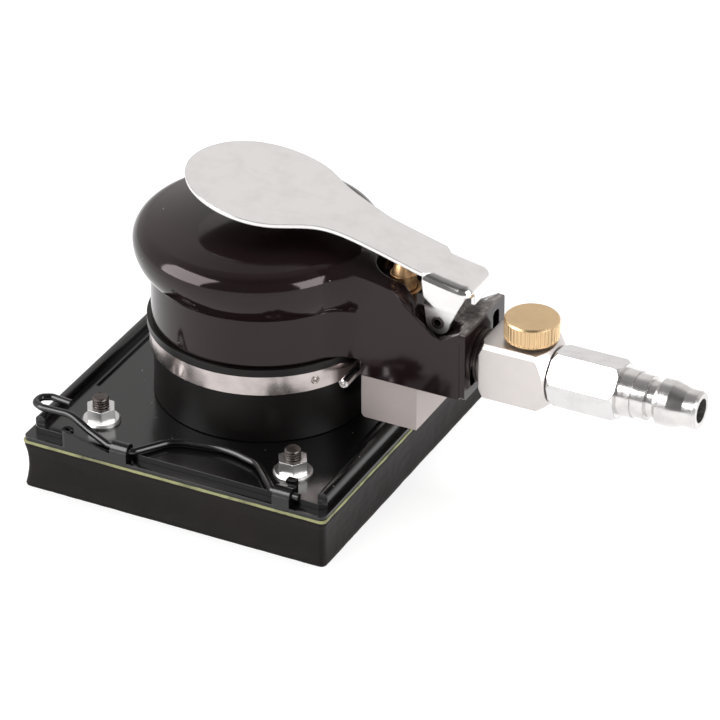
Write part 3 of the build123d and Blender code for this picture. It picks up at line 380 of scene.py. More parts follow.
@dataclass(frozen=True)
class GlossPaint:
    """Sprayed gloss paint on a casting or a pressing.

    Attributes:
        name: Name of the material.
        colour: Linear colour of clean paint.
        roughness: Roughness of clean paint.
        edge: Radius of the softened edges, in metres.
        peel: Depth of the orange peel, in metres.
        dust: Share of the settled dust that shows.
        index: Refractive index, which sets how much the paint mirrors.
        tint: Tint of what the paint mirrors.
        wear_sheen_x: Paint is worn thin and lightened by a painted sheen where X is above this, in
            metres.
        wear_sheen_z: And only where Z is above this. The defaults lie far off the tool.
        haze_size: Width of the hazy patches, in metres.
        speck_cell: Mean distance between dust specks, in metres.
        speck_share: Radius of a speck as a share of that distance.
        peel_size: Width of the orange peel's bumps, in metres.
        wear_sheen_size: Width of the worn patches with painted sheen and of their fade along X, in
            metres.
    """

    name: str
    colour: tuple[float, float, float, float]
    roughness: float
    edge: float
    peel: float
    dust: float
    index: float = 1.5
    tint: tuple[float, float, float, float] = (1.0, 1.0, 1.0, 1.0)
    wear_sheen_x: float = 1.0
    wear_sheen_z: float = 1.0
    haze_size: float = 18 * MM
    speck_cell: float = 6 * MM
    speck_share: float = 0.035
    peel_size: float = 2.2 * MM
    wear_sheen_size: float = 3 * MM

    def build(self) -> bpy.types.Material:
        """Paint with a faint orange peel, soft edges, hazy patches, settled dust and a worn strip
        lightened by a painted sheen.
        """
        surface = Surface(self.name)
        surface.set(IOR=self.index, Specular_Tint=self.tint)
        haze = surface.noise(self.haze_size, detail=4.0)
        specks = surface.specks(self.speck_cell, self.speck_share) * self.dust
        worn = surface.blend_colour(haze.above(0.4, 0.75) * 0.4, self.colour,
                                    grey(self.colour[1] * 2.2, warmth=0.1))
        # Top rear strip: paint worn thin, plus a light grey painted sheen for the light that its
        # top face catches.
        wear_and_sheen = surface.noise(self.wear_sheen_size, detail=4.0, rough=0.65).above(0.3, 0.6)
        wear_and_sheen = wear_and_sheen * surface.along(0).above(self.wear_sheen_x, self.wear_sheen_x + self.wear_sheen_size)
        wear_and_sheen = wear_and_sheen * surface.along(2).above(self.wear_sheen_z, self.wear_sheen_z + self.wear_sheen_size / 5) * 0.75
        # Painted sheen and wear: the light warm grey goes onto the worn tone here, so worn carries
        # painted sheen from this line on.
        worn = surface.blend_colour(wear_and_sheen, worn, grey(0.27, warmth=0.06))
        peel = surface.bump(surface.noise(self.peel_size, detail=1.0), self.peel,
                            surface.soft_edges(self.edge))
        surface.set(Base_Color=surface.blend_colour(specks, worn, grey(0.55)),
                    Roughness=self.roughness + haze * 0.05 + specks * 0.5 + wear_and_sheen * 0.25,
                    Normal=peel)
        return surface.material


class Machining(Enum):
    """How a metal surface was worked, which sets the run of its fine marks."""

    POLISHED = "polished"
    TURNED = "turned"
    ROLLED = "rolled"


@dataclass(frozen=True)
class BareMetal:
    """Metal without paint: plated, turned, ground or polished.

    Attributes:
        name: Name of the material.
        colour: Linear colour of clean metal.
        roughness: Roughness of clean metal.
        machining: Run of the fine marks.
        marks: Depth of the fine marks, in hundredths of a millimetre.
        edge: Radius of the softened edges, in metres.
        stain: Share of the smudges that shows.
        ripple: Depth of the waviness of the sheet or plating, in metres.
        satin_z: The metal is brushed satin below this height, in metres.
        grime_and_edge_shade: Share of the dark streaks along sharp edges that shows, a painted dark
            reflection of the edges.
        smudge_size: Width of the smudges, in metres.
        mark_size: Width of the fine marks, in metres.
        ripple_size: Width of the ripples, in metres.
        streak_size: Length of the dark streaks, in metres.
        streak_edge: How far the streaks reach from an edge, in metres.
        satin_fade: Height over which satin turns bright, in metres.
    """

    name: str
    colour: tuple[float, float, float, float]
    roughness: float
    machining: Machining = Machining.POLISHED
    marks: float = 0.2
    edge: float = 0.15 * MM
    stain: float = 0.3
    ripple: float = 0.0
    satin_z: float | None = None
    grime_and_edge_shade: float = 0.0
    smudge_size: float = 7 * MM
    mark_size: float = 0.6 * MM
    ripple_size: float = 12 * MM
    streak_size: float = 3 * MM
    streak_edge: float = 0.4 * MM
    satin_fade: float = 1.5 * MM

    def build(self) -> bpy.types.Material:
        """Metal with smudges, tool marks along its machining, soft edges and painted dark
        reflection streaked along its sharp edges.
        """
        surface = Surface(self.name)
        dull = surface.noise(self.smudge_size, detail=5.0, rough=0.6).above(0.45, 0.8) * self.stain
        fine = surface.noise(self.mark_size, detail=2.0)
        if self.machining is Machining.TURNED:
            fine = (surface.radius_about_z() * (TURNED_LINES * math.tau)).sine() * 0.4 + fine * 0.3
        elif self.machining is Machining.ROLLED:
            fine = surface.noise(0.5 * MM, detail=3.0, rough=0.6,
                                 place=surface.stretched(Vector((0.04, 0.04, 1.0))))
        tint = surface.blend_colour(dull, self.colour,
                                    tuple(c * 0.72 for c in self.colour[:3]) + (1.0,))
        if self.grime_and_edge_shade:
            # Painted dark reflection: near-black streaks laid along the sharp edges, for the dark
            # lines that polished edges mirror.
            streaks = surface.noise(self.streak_size, detail=3.0, rough=0.6).above(0.3, 0.55)
            share = surface.edges(self.streak_edge) * streaks * self.grime_and_edge_shade
            tint = surface.blend_colour(share, tint, grey(0.06, warmth=0.1))
        normal = surface.bump(fine, self.marks * 0.01 * MM, surface.soft_edges(self.edge))
        if self.ripple:
            waves = surface.noise(self.ripple_size, detail=2.0)
            normal = surface.bump(waves, self.ripple, normal)
        roughness = self.roughness + dull * 0.25 + fine * 0.04
        if self.satin_z is not None:
            bright = surface.along(2).above(self.satin_z - self.satin_fade, self.satin_z)
            roughness = roughness + (1 - bright) * 0.3
        surface.set(Base_Color=tint, Metallic=1.0, Roughness=roughness, Normal=normal)
        return surface.material


@dataclass(frozen=True)
class SoftSkin:
    """Rubber, foam, felt or resin: a dull surface with a grain.

    Attributes:
        name: Name of the material.
        colour: Linear colour of the darker patches.
        roughness: Mean roughness.
        grain: Depth of the grain, in metres.
        grain_size: Width of the grain, in metres.
        patch: How much of the lighter patches shows.
        folds: Depth of the soft folds, in metres.
        shine: Strength of the mirrored light, where 0.5 is plain plastic.
        patch_size: Width of the lighter patches, in metres.
        fold_size: Width of the folds, in metres.
        edge: Radius of the softened edges, in metres.
    """

    name: str
    colour: tuple[float, float, float, float]
    roughness: float
    grain: float
    grain_size: float
    patch: float = 0.35
    folds: float = 0.0
    shine: float = 0.4
    patch_size: float = 20 * MM
    fold_size: float = 6 * MM
    edge: float = 0.2 * MM

    def build(self) -> bpy.types.Material:
        """Dull surface with grain, darker and lighter patches, and soft folds."""
        surface = Surface(self.name)
        surface.set(Specular_IOR_Level=self.shine)
        patches = surface.noise(self.patch_size, detail=4.0, rough=0.6)
        light = tuple(min(c * 1.9, 1.0) for c in self.colour[:3]) + (1.0,)
        grain = surface.noise(self.grain_size, detail=4.0, rough=0.6)
        normal = surface.bump(grain, self.grain, surface.soft_edges(self.edge))
        if self.folds:
            creases = surface.noise(self.fold_size, detail=3.0, rough=0.55,
                                    place=surface.stretched(Vector((0.35, 0.35, 1.6))))
            normal = surface.bump(creases, self.folds, normal)
        surface.set(Base_Color=surface.blend_colour(patches.above(0.4, 0.8) * self.patch,
                                                    self.colour, light),
                    Roughness=self.roughness + patches * 0.12 - 0.06, Normal=normal)
        return surface.material


@dataclass(frozen=True)
class GlueLine:
    """Pale adhesive squeezed out in an uneven line.

    Attributes:
        name: Name of the material.
        pale: Linear colour of clean adhesive.
        dark: Linear colour of grubby adhesive.
        grime_size: Width of the grubby patches, in metres.
        grain_size: Width of the grain, in metres.
        grain: Depth of the grain, in metres.
    """

    name: str = "glue line"
    pale: tuple[float, float, float, float] = (0.38, 0.385, 0.17, 1.0)
    dark: tuple[float, float, float, float] = (0.11, 0.105, 0.05, 1.0)
    grime_size: float = 6 * MM
    grain_size: float = 0.8 * MM
    grain: float = 0.12 * MM

    def build(self) -> bpy.types.Material:
        """Adhesive that goes from pale to grubby along the edge."""
        surface = Surface(self.name)
        grime_and_edge_shade = surface.noise(self.grime_size, detail=5.0, rough=0.65)
        surface.set(Base_Color=surface.blend_colour(grime_and_edge_shade.above(0.46, 0.72), self.pale, self.dark),
                    Roughness=0.6,
                    Normal=surface.bump(surface.noise(self.grain_size, detail=3.0), self.grain))
        return surface.material


def dress(material: bpy.types.Material, *names: str) -> None:
    """Puts a finish on CAD nodes."""
    for name in names:
        for slot in NODES[name].material_slots:
            slot.material = material


def finish_piece(piece: bpy.types.Object, material: bpy.types.Material, body: str, slot: str,
                 *replaced: str) -> bpy.types.Object:
    """Gives a new piece its finish, its body and the CAD nodes that it stands for.

    Args:
        piece: Finished mesh object at the origin.
        material: Its finish.
        body: CAD body that it moves with.
        slot: Name of the piece's material slot; not used.
        *replaced: CAD nodes that it stands for.

    Returns:
        The same piece.
    """
    piece.data.materials.clear()
    piece.data.materials.append(material)
    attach(piece, body)
    if replaced:
        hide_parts(*replaced)
    LOG.info("%s rides %s", piece.name, body)
    return piece


# ------------------------------------------------------------------ sanding pad


@dataclass
class SandingPad:
    """Foam block, glue line and the studs that carry the tray.

    Attributes:
        corner: Bevel of the upright corners, in metres.
        waist: How far the foam's walls are drawn in at half height, in metres.
        wall_steps: Rows of faces on the foam's walls.
        edge_cuts: How many times each straight edge is cut.
        crease: Height of the foam's wide wrinkles, in metres.
        thread_pitch: Pitch of the studs' thread, in metres.
        thread_radius: Radius of the thread's crest, in metres.
        thread_depth: Depth of the thread, in metres.
        thread_sides: Steps of the thread per turn.
        roll: How far the foam's foot and top are rolled in, in metres.
        roll_share: Share of the height over which each is rolled.
        wrinkle_sizes: Widths of the wide and the narrow wrinkles, in metres.
        stud_inset: Distance of a stud's axis from the sides of the studs' box, in metres.
        stud_chamfer: Height of the chamfer at a stud's top, in metres.
    """

    corner: float = 1.6 * MM
    waist: float = 1.0 * MM
    wall_steps: int = 22
    edge_cuts: int = 150
    crease: float = 0.35 * MM
    thread_pitch: float = 0.8 * MM
    thread_radius: float = 2.5 * MM
    thread_depth: float = 0.45 * MM
    thread_sides: int = 28
    roll: float = 0.45 * MM
    roll_share: float = 0.06
    wrinkle_sizes: tuple[float, float] = (9 * MM, 2.5 * MM)
    stud_inset: float = 5 * MM
    stud_chamfer: float = 0.3 * MM

    def _rim(self, name: str, low: Vector, high: Vector) -> bpy.types.Object:
        """Rounded rectangle of finely divided edges at the foot of a block.

        Args:
            name: Name of the piece.
            low: Lowest corner of the block.
            high: Highest corner of the block.

        Returns:
            The piece, open in edit mode with all of its edges selected.
        """
        size = high - low
        bpy.ops.mesh.primitive_plane_add(
            size=1, location=((low.x + high.x) / 2, (low.y + high.y) / 2, low.z))
        rim = start_piece(name)
        rim.scale = (size.x, size.y, 1)
        apply_place(rim)
        edit(rim, Pick.VERTS)
        bpy.ops.mesh.select_all(action="SELECT")
        bpy.ops.mesh.bevel(affect="VERTICES", offset=self.corner, segments=5)
        bpy.ops.mesh.delete(type="ONLY_FACE")
        select_where(Pick.EDGES, lambda e: e.calc_length() > 10 * self.corner)
        bpy.ops.mesh.subdivide(number_cuts=self.edge_cuts)
        bpy.ops.mesh.select_all(action="SELECT")
        return rim

    def _raise(self, low: Vector, high: Vector, steps: int,
               inset: Callable[[float], float]) -> None:
        """Extrudes the open rim upwards in steps, with an inset for each height.

        Args:
            low: Lowest corner of the block.
            high: Highest corner of the block.
            steps: How many rows of faces the wall gets.
            inset: Takes the share of the height, and gives the wall's inset in metres.
        """
        middle = (low + high) / 2
        half = (high - low) / 2
        before = 1 - inset(0.0) / half.x
        bpy.ops.transform.resize(value=(before, before, 1), center_override=middle)
        for step in range(1, steps + 1):
            lift = (high.z - low.z) / steps
            bpy.ops.mesh.extrude_region_move(TRANSFORM_OT_translate={"value": (0, 0, lift)})
            now = 1 - inset(step / steps) / half.x
            bpy.ops.transform.resize(value=(now / before, now / before, 1), center_override=middle)
            before = now

    def _cap(self, middle: Vector) -> None:
        """Closes the open loops at the top and the foot of a wall with stepped caps.

        Args:
            middle: Centre of the block.
        """
        bpy.ops.mesh.select_mode(type="EDGE")
        for level in (max, min):
            mesh = bmesh.from_edit_mesh(bpy.context.object.data)
            height = level(v.co.z for v in mesh.verts)
            select_where(Pick.EDGES, lambda e: all(abs(v.co.z - height) < 1e-6 for v in e.verts))
            bpy.ops.mesh.edge_face_add()
            bpy.ops.mesh.select_mode(type="FACE")
            for share in (0.985, 0.97, 0.93):
                bpy.ops.mesh.extrude_region_move(TRANSFORM_OT_translate={"value": (0, 0, 0)})
                bpy.ops.transform.resize(value=(share, share, 1), center_override=middle)
            bpy.ops.mesh.select_mode(type="EDGE")

    def _wrinkle(self, piece: bpy.types.Object, size: float, depth: float) -> None:
        """Displaces a piece along its normals with soft noise.

        Args:
            piece: Mesh object.
            size: Width of a wrinkle in metres.
            depth: Full height of the wrinkles in metres.
        """
        texture = bpy.data.textures.new(piece.name, "CLOUDS")
        texture.noise_scale = size
        texture.noise_depth = 2
        apply_modifier(piece, "DISPLACE", texture=texture, strength=depth, mid_level=0.5,
                       texture_coords="LOCAL", direction="NORMAL")

    def foam(self) -> None:
        """Foam block with a rolled skin: walls drawn in at half height, creased along the edges."""
        low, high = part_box("foam_pad")
        low, high = low + Vector((0.2, 0.2, 0)) * MM, high - Vector((0.2, 0.2, 0)) * MM

        def inset(share: float) -> float:
            """Waist of the wall, with a tight roll at its foot and top."""
            end = min(share, 1 - share)
            roll = max(0.0, 1 - end / self.roll_share)
            return self.waist * math.sin(math.pi * share) ** 0.7 + self.roll * roll ** 2

        block = self._rim("foam_block", low, high)
        self._raise(low, high, self.wall_steps, inset)
        self._cap((low + high) / 2)
        close_edit()
        clean_normals(block, 50.0)
        wide, narrow = self.wrinkle_sizes
        self._wrinkle(block, wide, self.crease)
        self._wrinkle(block, narrow, self.crease * 0.35)
        edit(block, Pick.VERTS)
        select_where(Pick.VERTS, lambda v: v.co.z < 0)
        bpy.ops.transform.resize(value=(1, 1, 0), center_override=(0, 0, 0))
        close_edit()
        skin = SoftSkin("foam skin", (0.0088, 0.0055, 0.0055, 1), roughness=0.5, grain=0.05 * MM,
                        grain_size=1.2 * MM, patch=0.5, folds=0.25 * MM, shine=0.14)
        finish_piece(block, skin.build(), "pad", "foam", "foam_pad")

    def glue(self) -> None:
        """Uneven line of adhesive between the foam and the plate."""
        low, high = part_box("pad_backing")
        line = self._rim("glue_line", low, high)
        self._raise(low, high, 4, lambda share: 0.12 * MM * abs(2 * share - 1))
        self._cap((low + high) / 2)
        close_edit()
        clean_normals(line, 60.0)
        self._wrinkle(line, 5 * MM, 0.3 * MM)
        finish_piece(line, GlueLine().build(), "pad", "backing", "pad_backing")

    def studs(self, steel: bpy.types.Material) -> None:
        """Four threaded studs, cut from one helical ridge and closed at both ends.

        Args:
            steel: Finish of the studs.
        """
        low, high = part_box("pad_studs")
        inset = self.stud_inset
        head = Vector((low.x + inset, low.y + inset, low.z))
        pitch = self.thread_pitch
        bpy.ops.mesh.primitive_plane_add(size=pitch, location=(0, 0, 0),
                                         rotation=(math.pi / 2, 0, 0))
        ridge = start_piece("pad_stud_0")
        apply_place(ridge)
        edit(ridge, Pick.VERTS)
        select_where(Pick.VERTS, lambda v: v.co.x > 0)
        bpy.ops.mesh.delete(type="VERT")
        bpy.ops.mesh.select_all(action="SELECT")
        bpy.ops.mesh.subdivide(number_cuts=3)
        bpy.ops.transform.translate(
            value=(self.thread_radius - self.thread_depth + pitch / 2, 0, 0))
        select_where(Pick.VERTS, lambda v: abs(v.co.z) < pitch * 0.3)
        bpy.ops.transform.translate(value=(self.thread_depth * 0.9, 0, 0))
        select_where(Pick.VERTS, lambda v: abs(v.co.z) < pitch * 0.1)
        bpy.ops.transform.translate(value=(self.thread_depth * 0.1, 0, 0))
        close_edit()
        turns = int((high.z - low.z) / pitch) + 3
        apply_modifier(ridge, "SCREW", axis="Z", screw_offset=pitch, iterations=turns,
                       angle=math.tau, steps=self.thread_sides, render_steps=self.thread_sides,
                       use_merge_vertices=True, merge_threshold=1e-6)
        ridge.location = Vector((head.x, head.y, low.z - pitch))
        apply_place(ridge)
        edit(ridge, Pick.FACES)
        for height, side in ((high.z, 1), (low.z, -1)):
            bpy.ops.mesh.select_all(action="SELECT")
            bpy.ops.mesh.bisect(plane_co=(0, 0, height), plane_no=(0, 0, side), use_fill=True,
                                clear_outer=True)
        select_where(Pick.VERTS, lambda v: v.co.z > high.z - self.stud_chamfer)
        bpy.ops.transform.resize(value=(0.9, 0.9, 1), center_override=(head.x, head.y, high.z))
        close_edit()
        clean_normals(ridge, 40.0)
        span = Vector((high.x - low.x - 2 * inset, high.y - low.y - 2 * inset, 0))
        others = [copy_piece(ridge, f"pad_stud_{i}",
                             Vector((span.x * (i % 2), span.y * (i // 2), 0)))
                  for i in (1, 2, 3)]
        finish_piece(join_pieces(ridge, others), steel, "pad", "dark_steel", "pad_studs")
        ridge.name = "pad_stud_threads"


@dataclass
class BandRivet:
    """Hollow rivet that closes the boot's steel band.

    Attributes:
        turn: Its direction from the motor's axis, from +X towards +Y, in degrees.
        radius: Radius of the rim's middle line, in metres.
        rim: Radius of the rim's own round section, in metres.
    """

    turn: float = -37.0
    radius: float = 1.05 * MM
    rim: float = 0.28 * MM

    def build(self, steel: bpy.types.Material) -> None:
        """Rolled rim around a sunk head, set square to the band.

        Args:
            steel: Finish of the rivet.
        """
        low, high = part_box("clamp_band")
        out = Vector((math.cos(math.radians(self.turn)), math.sin(math.radians(self.turn)), 0))
        spot = out * (high.y - low.y) / 2 + Vector((0, 0, (low.z + high.z) / 2))
        turn = out.to_track_quat("Z", "Y").to_euler()
        bpy.ops.mesh.primitive_torus_add(location=spot, rotation=turn, major_radius=self.radius,
                                         minor_radius=self.rim, major_segments=32,
                                         minor_segments=12)
        rim = start_piece("band_rivet")
        apply_place(rim)
        bpy.ops.mesh.primitive_uv_sphere_add(
            location=spot - out * 0.1 * MM, rotation=turn, segments=24, ring_count=12,
            radius=self.radius * 0.7, scale=(1, 1, 0.35))
        head = start_piece("band_rivet_head")
        apply_place(head)
        join_pieces(rim, [head])
        clean_normals(rim, 50.0)
        finish_piece(rim, steel, "housing", "zinc")


# ------------------------------------------------------------------ studio


@dataclass
class Softbox:
    """One soft rectangular lamp that looks at the tool.

    Attributes:
        name: Name of the lamp.
        azimuth: Its direction from the tool, from -Y towards +X, in degrees.
        elevation: Its height above the horizon, in degrees.
        distance: How far it hangs from the tool, in metres.
        width: Its width, in metres.
        height: Its height, in metres.
        power: Its power, in watts.
        gloss: Whether shiny surfaces mirror it.
        fill: Whether it lights dull surfaces.
    """

    name: str
    azimuth: float
    elevation: float
    distance: float
    width: float
    height: float
    power: float
    gloss: bool = True
    fill: bool = True

    def place(self, aim: Vector) -> None:
        """Hangs the lamp on its direction from the aim point, facing it."""
        lamp = bpy.data.lights.new(self.name, "AREA")
        lamp.shape = "RECTANGLE"
        lamp.size = self.width
        lamp.size_y = self.height
        lamp.energy = self.power
        item = bpy.data.objects.new(self.name, lamp)
        bpy.context.scene.collection.objects.link(item)
        away = direction(self.azimuth, self.elevation)
        item.location = aim + away * self.distance
        item.rotation_euler = away.to_track_quat("Z", "Y").to_euler()
        item.visible_glossy = self.gloss
        item.visible_diffuse = self.fill


def direction(azimuth: float, elevation: float) -> Vector:
    """Unit vector towards an azimuth from -Y and an elevation, both in degrees."""
    turn, rise = math.radians(azimuth), math.radians(elevation)
    return Vector((math.sin(turn) * math.cos(rise), -math.cos(turn) * math.cos(rise),
                   math.sin(rise)))


@dataclass
class Studio:
    """White floor, soft light all round, a few lamps and the camera.

    Attributes:
        azimuth: The camera's direction from the tool, from -Y towards +X, in degrees.
        elevation: The camera's height above the horizon, in degrees.
        distance: How far the camera stands from the aim point, in metres.
        lens: Focal length, in millimetres.
        aim: Point of the tool that the camera and the lamps look at, in metres.
        slide: How far the camera is moved to its right, in metres.
        drop: How far the camera is moved down in its own frame, in metres.
        sheet: Brightness of the backdrop.
        overhead: Brightness straight above the tool.
        front: Share of the brightness that is left on the camera's side.
        horizon: Where the colour ramp has the horizon, of its run from nadir to zenith.
        dome: Ramp stops of the backdrop's upper edge and of the dim part above it.
        turn: Cosines of the angle from the camera's side over which the backdrop dims.
    """

    azimuth: float = 26.71
    elevation: float = 31.13
    distance: float = 1.3773
    lens: float = 232.7
    aim: Vector = field(default_factory=lambda: Vector((18.34, -0.82, 45.0)) * MM)
    slide: float = 12.35 * MM
    drop: float = 10.56 * MM
    sheet: float = 0.9
    overhead: float = 0.3
    front: float = 0.2
    horizon: float = 0.5
    dome: tuple[float, float] = (0.85, 0.955)
    turn: tuple[float, float] = (-0.15, 0.45)

    def camera(self) -> None:
        """Long-lens camera, looking down on the front corner."""
        data = bpy.data.cameras.new("camera")
        data.lens = self.lens
        data.sensor_width = 36.0
        data.clip_start = 0.05
        data.clip_end = 50.0
        item = bpy.data.objects.new("camera", data)
        bpy.context.scene.collection.objects.link(item)
        back = direction(self.azimuth, self.elevation)
        right = Vector((math.cos(math.radians(self.azimuth)),
                        math.sin(math.radians(self.azimuth)), 0))
        up = back.cross(right)
        item.location = self.aim + right * self.slide - up * self.drop + back * self.distance
        item.rotation_euler = Matrix((right, up, back)).transposed().to_euler()
        bpy.context.scene.camera = item

    def floor(self) -> None:
        """Pale floor under the tool."""
        bpy.ops.mesh.primitive_plane_add(size=12, location=(0, 0, CAD_LOW[2] - 0.02 * MM))
        ground = start_piece("floor")
        apply_place(ground)
        surface = Surface("pale floor")
        surface.set(Base_Color=grey(0.35), Roughness=0.9, Specular_IOR_Level=0.1,
                    Emission_Color=grey(1.0), Emission_Strength=0.78)
        ground.data.materials.append(surface.material)

    def surroundings(self) -> None:
        """White backdrop behind the tool, dimmer overhead and on the camera's side.

        The camera itself sees it as plain white.
        """
        world = bpy.data.worlds.new("studio")
        world.use_nodes = True
        tree = world.node_tree
        tree.nodes.clear()
        add = tree.nodes.new
        way = add("ShaderNodeTexCoord").outputs["Generated"]
        parts = add("ShaderNodeSeparateXYZ")
        tree.links.new(way, parts.inputs[0])
        height = add("ShaderNodeMapRange")
        height.inputs["From Min"].default_value = -1.0
        tree.links.new(parts.outputs["Z"], height.inputs["Value"])
        rise = add("ShaderNodeValToRGB")
        edge, dim_from = self.dome
        stops = [(self.horizon, self.sheet), (edge, self.sheet * 0.95), (dim_from, self.overhead),
                 (1.0, self.overhead)]
        while len(rise.color_ramp.elements) < len(stops):
            rise.color_ramp.elements.new(0.5)
        for element, (position, level) in zip(rise.color_ramp.elements, stops):
            element.position = position
            element.color = (level, level * 0.985, level * 0.975, 1)
        tree.links.new(height.outputs[0], rise.inputs[0])
        facing = add("ShaderNodeVectorMath")
        facing.operation = "DOT_PRODUCT"
        tree.links.new(way, facing.inputs[0])
        facing.inputs[1].default_value = direction(self.azimuth, 0)
        dim = add("ShaderNodeMapRange")
        tree.links.new(facing.outputs["Value"], dim.inputs["Value"])
        away, near = self.turn
        for name, level in (("From Min", away), ("From Max", near),
                            ("To Min", 1.0), ("To Max", self.front)):
            dim.inputs[name].default_value = level
        shade = add("ShaderNodeVectorMath")
        shade.operation = "SCALE"
        tree.links.new(rise.outputs[0], shade.inputs[0])
        tree.links.new(dim.outputs[0], shade.inputs["Scale"])
        seen, plain = add("ShaderNodeBackground"), add("ShaderNodeBackground")
        tree.links.new(shade.outputs[0], seen.inputs["Color"])
        plain.inputs["Color"].default_value = (1, 1, 1, 1)
        mix = add("ShaderNodeMixShader")
        tree.links.new(add("ShaderNodeLightPath").outputs["Is Camera Ray"], mix.inputs[0])
        tree.links.new(seen.outputs[0], mix.inputs[1])
        tree.links.new(plain.outputs[0], mix.inputs[2])
        tree.links.new(mix.outputs[0], add("ShaderNodeOutputWorld").inputs["Surface"])
        bpy.context.scene.world = world

    def light(self) -> None:
        """Surroundings, two softboxes that show in the gloss, and softer lamps that only fill."""
        self.surroundings()
        lamps = (
            Softbox("left window", azimuth=-44, elevation=26, distance=1.1,
                    width=0.86, height=1.0, power=20, fill=False),
            Softbox("right window", azimuth=78, elevation=19, distance=1.1,
                    width=0.62, height=0.76, power=11, fill=False),
            Softbox("left fill", azimuth=-40, elevation=25, distance=1.1,
                    width=0.9, height=0.8, power=2.6, gloss=False),
            Softbox("right fill", azimuth=72, elevation=20, distance=1.1,
                    width=0.6, height=0.8, power=1.8, gloss=False),
            Softbox("top sheet", azimuth=200, elevation=72, distance=1.2,
                    width=1.4, height=1.4, power=17, gloss=False))
        for lamp in lamps:
            lamp.place(self.aim)
        bpy.context.scene.view_settings.view_transform = "Standard"

    def build(self) -> None:
        """Sets up the camera, the floor and the light."""
        self.camera()
        self.floor()
        self.light()


# ------------------------------------------------------------------ whole tool


@dataclass
class Finishes:
    """The materials of the tool, made once and shared."""

    housing: bpy.types.Material = field(default_factory=lambda: GlossPaint(
        "housing paint", (0.0125, 0.0066, 0.0072, 1), roughness=0.07, edge=0.4 * MM,
        peel=0.004 * MM, dust=0.8, index=1.41, tint=(1.0, 0.86, 0.88, 1), wear_sheen_x=63 * MM,
        wear_sheen_z=61.9 * MM).build())
    black: bpy.types.Material = field(default_factory=lambda: GlossPaint(
        "black gloss", (0.006, 0.0055, 0.0058, 1), roughness=0.16, edge=0.25 * MM,
        peel=0.006 * MM, dust=0.5).build())
    chrome: bpy.types.Material = field(default_factory=lambda: BareMetal(
        "polished chrome", (0.78, 0.765, 0.765, 1), roughness=0.1, marks=0.3, edge=0.25 * MM,
        stain=0.5, ripple=0.08 * MM, grime_and_edge_shade=0.75).build())
    worn_chrome: bpy.types.Material = field(default_factory=lambda: BareMetal(
        "worn chrome", (0.74, 0.72, 0.71, 1), roughness=0.16, marks=0.5, edge=0.2 * MM,
        stain=0.8, ripple=0.35 * MM, grime_and_edge_shade=0.6).build())
    lever: bpy.types.Material = field(default_factory=lambda: BareMetal(
        "lever chrome", (0.84, 0.82, 0.815, 1), roughness=0.07, marks=0.1, edge=0.35 * MM,
        stain=0.35, ripple=0.03 * MM, satin_z=66.5 * MM, grime_and_edge_shade=0.7).build())
    zinc: bpy.types.Material = field(default_factory=lambda: BareMetal(
        "bright zinc", (0.66, 0.65, 0.645, 1), roughness=0.3, marks=0.8, edge=0.2 * MM,
        stain=0.3).build())
    band: bpy.types.Material = field(default_factory=lambda: BareMetal(
        "rolled band steel", (0.56, 0.5, 0.485, 1), roughness=0.17, machining=Machining.ROLLED,
        marks=0.5, edge=0.1 * MM, stain=0.5, ripple=0.2 * MM).build())
    dark_steel: bpy.types.Material = field(default_factory=lambda: BareMetal(
        "blackened steel", (0.11, 0.095, 0.09, 1), roughness=0.4, marks=0.8, edge=0.12 * MM,
        stain=0.4).build())
    worn_steel: bpy.types.Material = field(default_factory=lambda: BareMetal(
        "worn black steel", (0.36, 0.32, 0.3, 1), roughness=0.32, marks=0.8, edge=0.12 * MM,
        stain=0.5).build())
    steel: bpy.types.Material = field(default_factory=lambda: BareMetal(
        "ground steel", (0.62, 0.61, 0.6, 1), roughness=0.25, machining=Machining.TURNED,
        marks=0.4).build())
    bearing: bpy.types.Material = field(default_factory=lambda: BareMetal(
        "bearing steel", (0.7, 0.69, 0.68, 1), roughness=0.12, marks=0.1).build())
    aluminium: bpy.types.Material = field(default_factory=lambda: BareMetal(
        "turned aluminium", (0.78, 0.78, 0.79, 1), roughness=0.3, machining=Machining.TURNED,
        marks=0.6).build())
    brass: bpy.types.Material = field(default_factory=lambda: BareMetal(
        "turned brass", (0.72, 0.52, 0.3, 1), roughness=0.3, machining=Machining.TURNED,
        marks=0.5, edge=0.15 * MM, stain=0.4).build())
    cast_brass: bpy.types.Material = field(default_factory=lambda: BareMetal(
        "cast brass", (0.74, 0.47, 0.25, 1), roughness=0.4, machining=Machining.TURNED,
        marks=0.8, edge=0.15 * MM, stain=0.5).build())
    satin: bpy.types.Material = field(default_factory=lambda: BareMetal(
        "satin nickel", (0.66, 0.62, 0.6, 1), roughness=0.38, marks=0.6, edge=0.3 * MM,
        stain=0.15).build())
    silencer: bpy.types.Material = field(default_factory=lambda: SoftSkin(
        "cast silencer", (0.52, 0.455, 0.435, 1), roughness=0.5, grain=0.02 * MM,
        grain_size=0.9 * MM, patch=0.15).build())
    rubber: bpy.types.Material = field(default_factory=lambda: SoftSkin(
        "boot rubber", (0.0062, 0.0048, 0.0045, 1), roughness=0.36, grain=0.01 * MM,
        grain_size=1.0 * MM, patch=0.3, shine=0.25).build())
    seal: bpy.types.Material = field(default_factory=lambda: SoftSkin(
        "seal rubber", (0.012, 0.012, 0.013, 1), roughness=0.45, grain=0.01 * MM,
        grain_size=0.6 * MM).build())
    felt: bpy.types.Material = field(default_factory=lambda: SoftSkin(
        "grey felt", (0.2, 0.195, 0.18, 1), roughness=0.9, grain=0.15 * MM,
        grain_size=0.6 * MM).build())
    resin: bpy.types.Material = field(default_factory=lambda: SoftSkin(
        "vane resin", (0.1, 0.045, 0.02, 1), roughness=0.5, grain=0.02 * MM,
        grain_size=0.7 * MM).build())


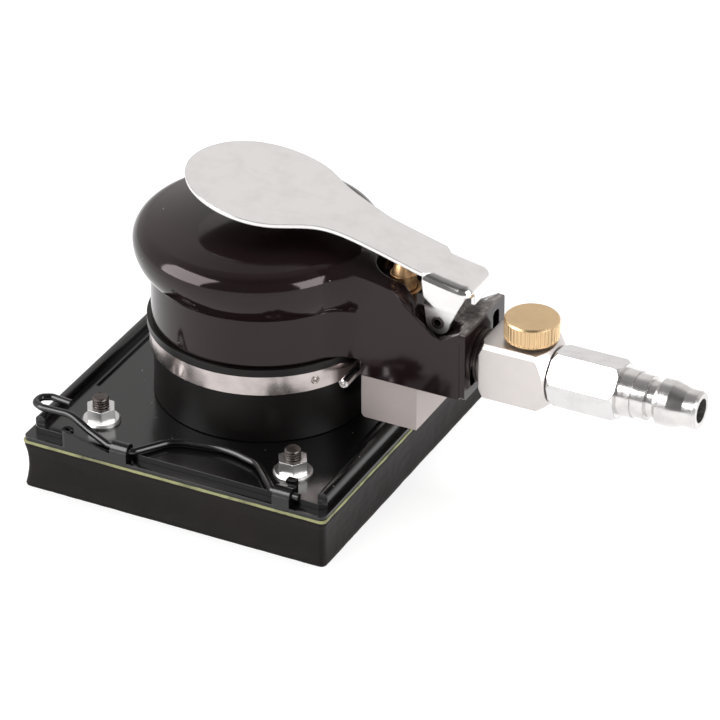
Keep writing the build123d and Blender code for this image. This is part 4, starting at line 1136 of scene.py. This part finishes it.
class Sander:
    """The whole tool: each CAD node gets its finish, and the finer pieces are added."""

    def __init__(self) -> None:
        """Makes the finishes."""
        self.finishes = Finishes()

    def dress_nodes(self) -> None:
        """Puts a finish on every CAD node."""
        use = self.finishes
        dress(use.housing, "motor_housing", "rear_plate")
        dress(use.black, "clamp_tray", "pad_plate", "front_clamp_brackets", "rear_clamp_brackets",
              "front_paper_clamp", "rear_paper_clamp")
        dress(use.lever, "throttle_lever")
        dress(use.chrome, "hex_adaptor")
        dress(use.worn_chrome, "air_nipple", "clamp_screw")
        dress(use.zinc, "flange_nuts", "spindle_washer", "silencer_screws")
        dress(use.band, "clamp_band")
        dress(use.worn_steel, "inlet_bushing")
        dress(use.dark_steel, "lever_pin", "hub_screws", "spindle_screw", "motor_dowel",
              "rotor_key", "shaft_ring", "regulator_clip")
        dress(use.steel, "crankshaft", "rotor", "cylinder_sleeve", "valve_spring")
        dress(use.bearing, "pad_bearing_outer", "pad_bearing_inner", "pad_bearing_balls",
              "lower_bearing_outer", "lower_bearing_inner", "lower_bearing_balls",
              "upper_bearing_outer", "upper_bearing_inner", "upper_bearing_balls")
        dress(use.aluminium, "pad_hub", "lower_end_plate", "upper_end_plate", "lock_ring")
        dress(use.brass, "counterweight", "regulator_knob")
        dress(use.cast_brass, "valve_bushing", "valve_stem")
        dress(use.satin, "regulator_body")
        dress(use.silencer, "silencer_body")
        dress(use.rubber, "rubber_boot")
        dress(use.seal, "valve_seal", "regulator_seal")
        dress(use.felt, "silencer_felt")
        dress(use.resin, "rotor_vanes")

    def build(self) -> None:
        """Builds every sub-assembly in order."""
        self.dress_nodes()
        pad = SandingPad()
        pad.foam()
        pad.glue()
        pad.studs(self.finishes.dark_steel)
        BandRivet().build(self.finishes.worn_steel)


def main() -> None:
    """Builds the studio and the tool."""
    logging.basicConfig(level=logging.INFO, format="%(name)s: %(message)s")
    Studio().build()
    Sander().build()
    bpy.ops.object.select_all(action="DESELECT")


if __name__ == "__main__":
    main()
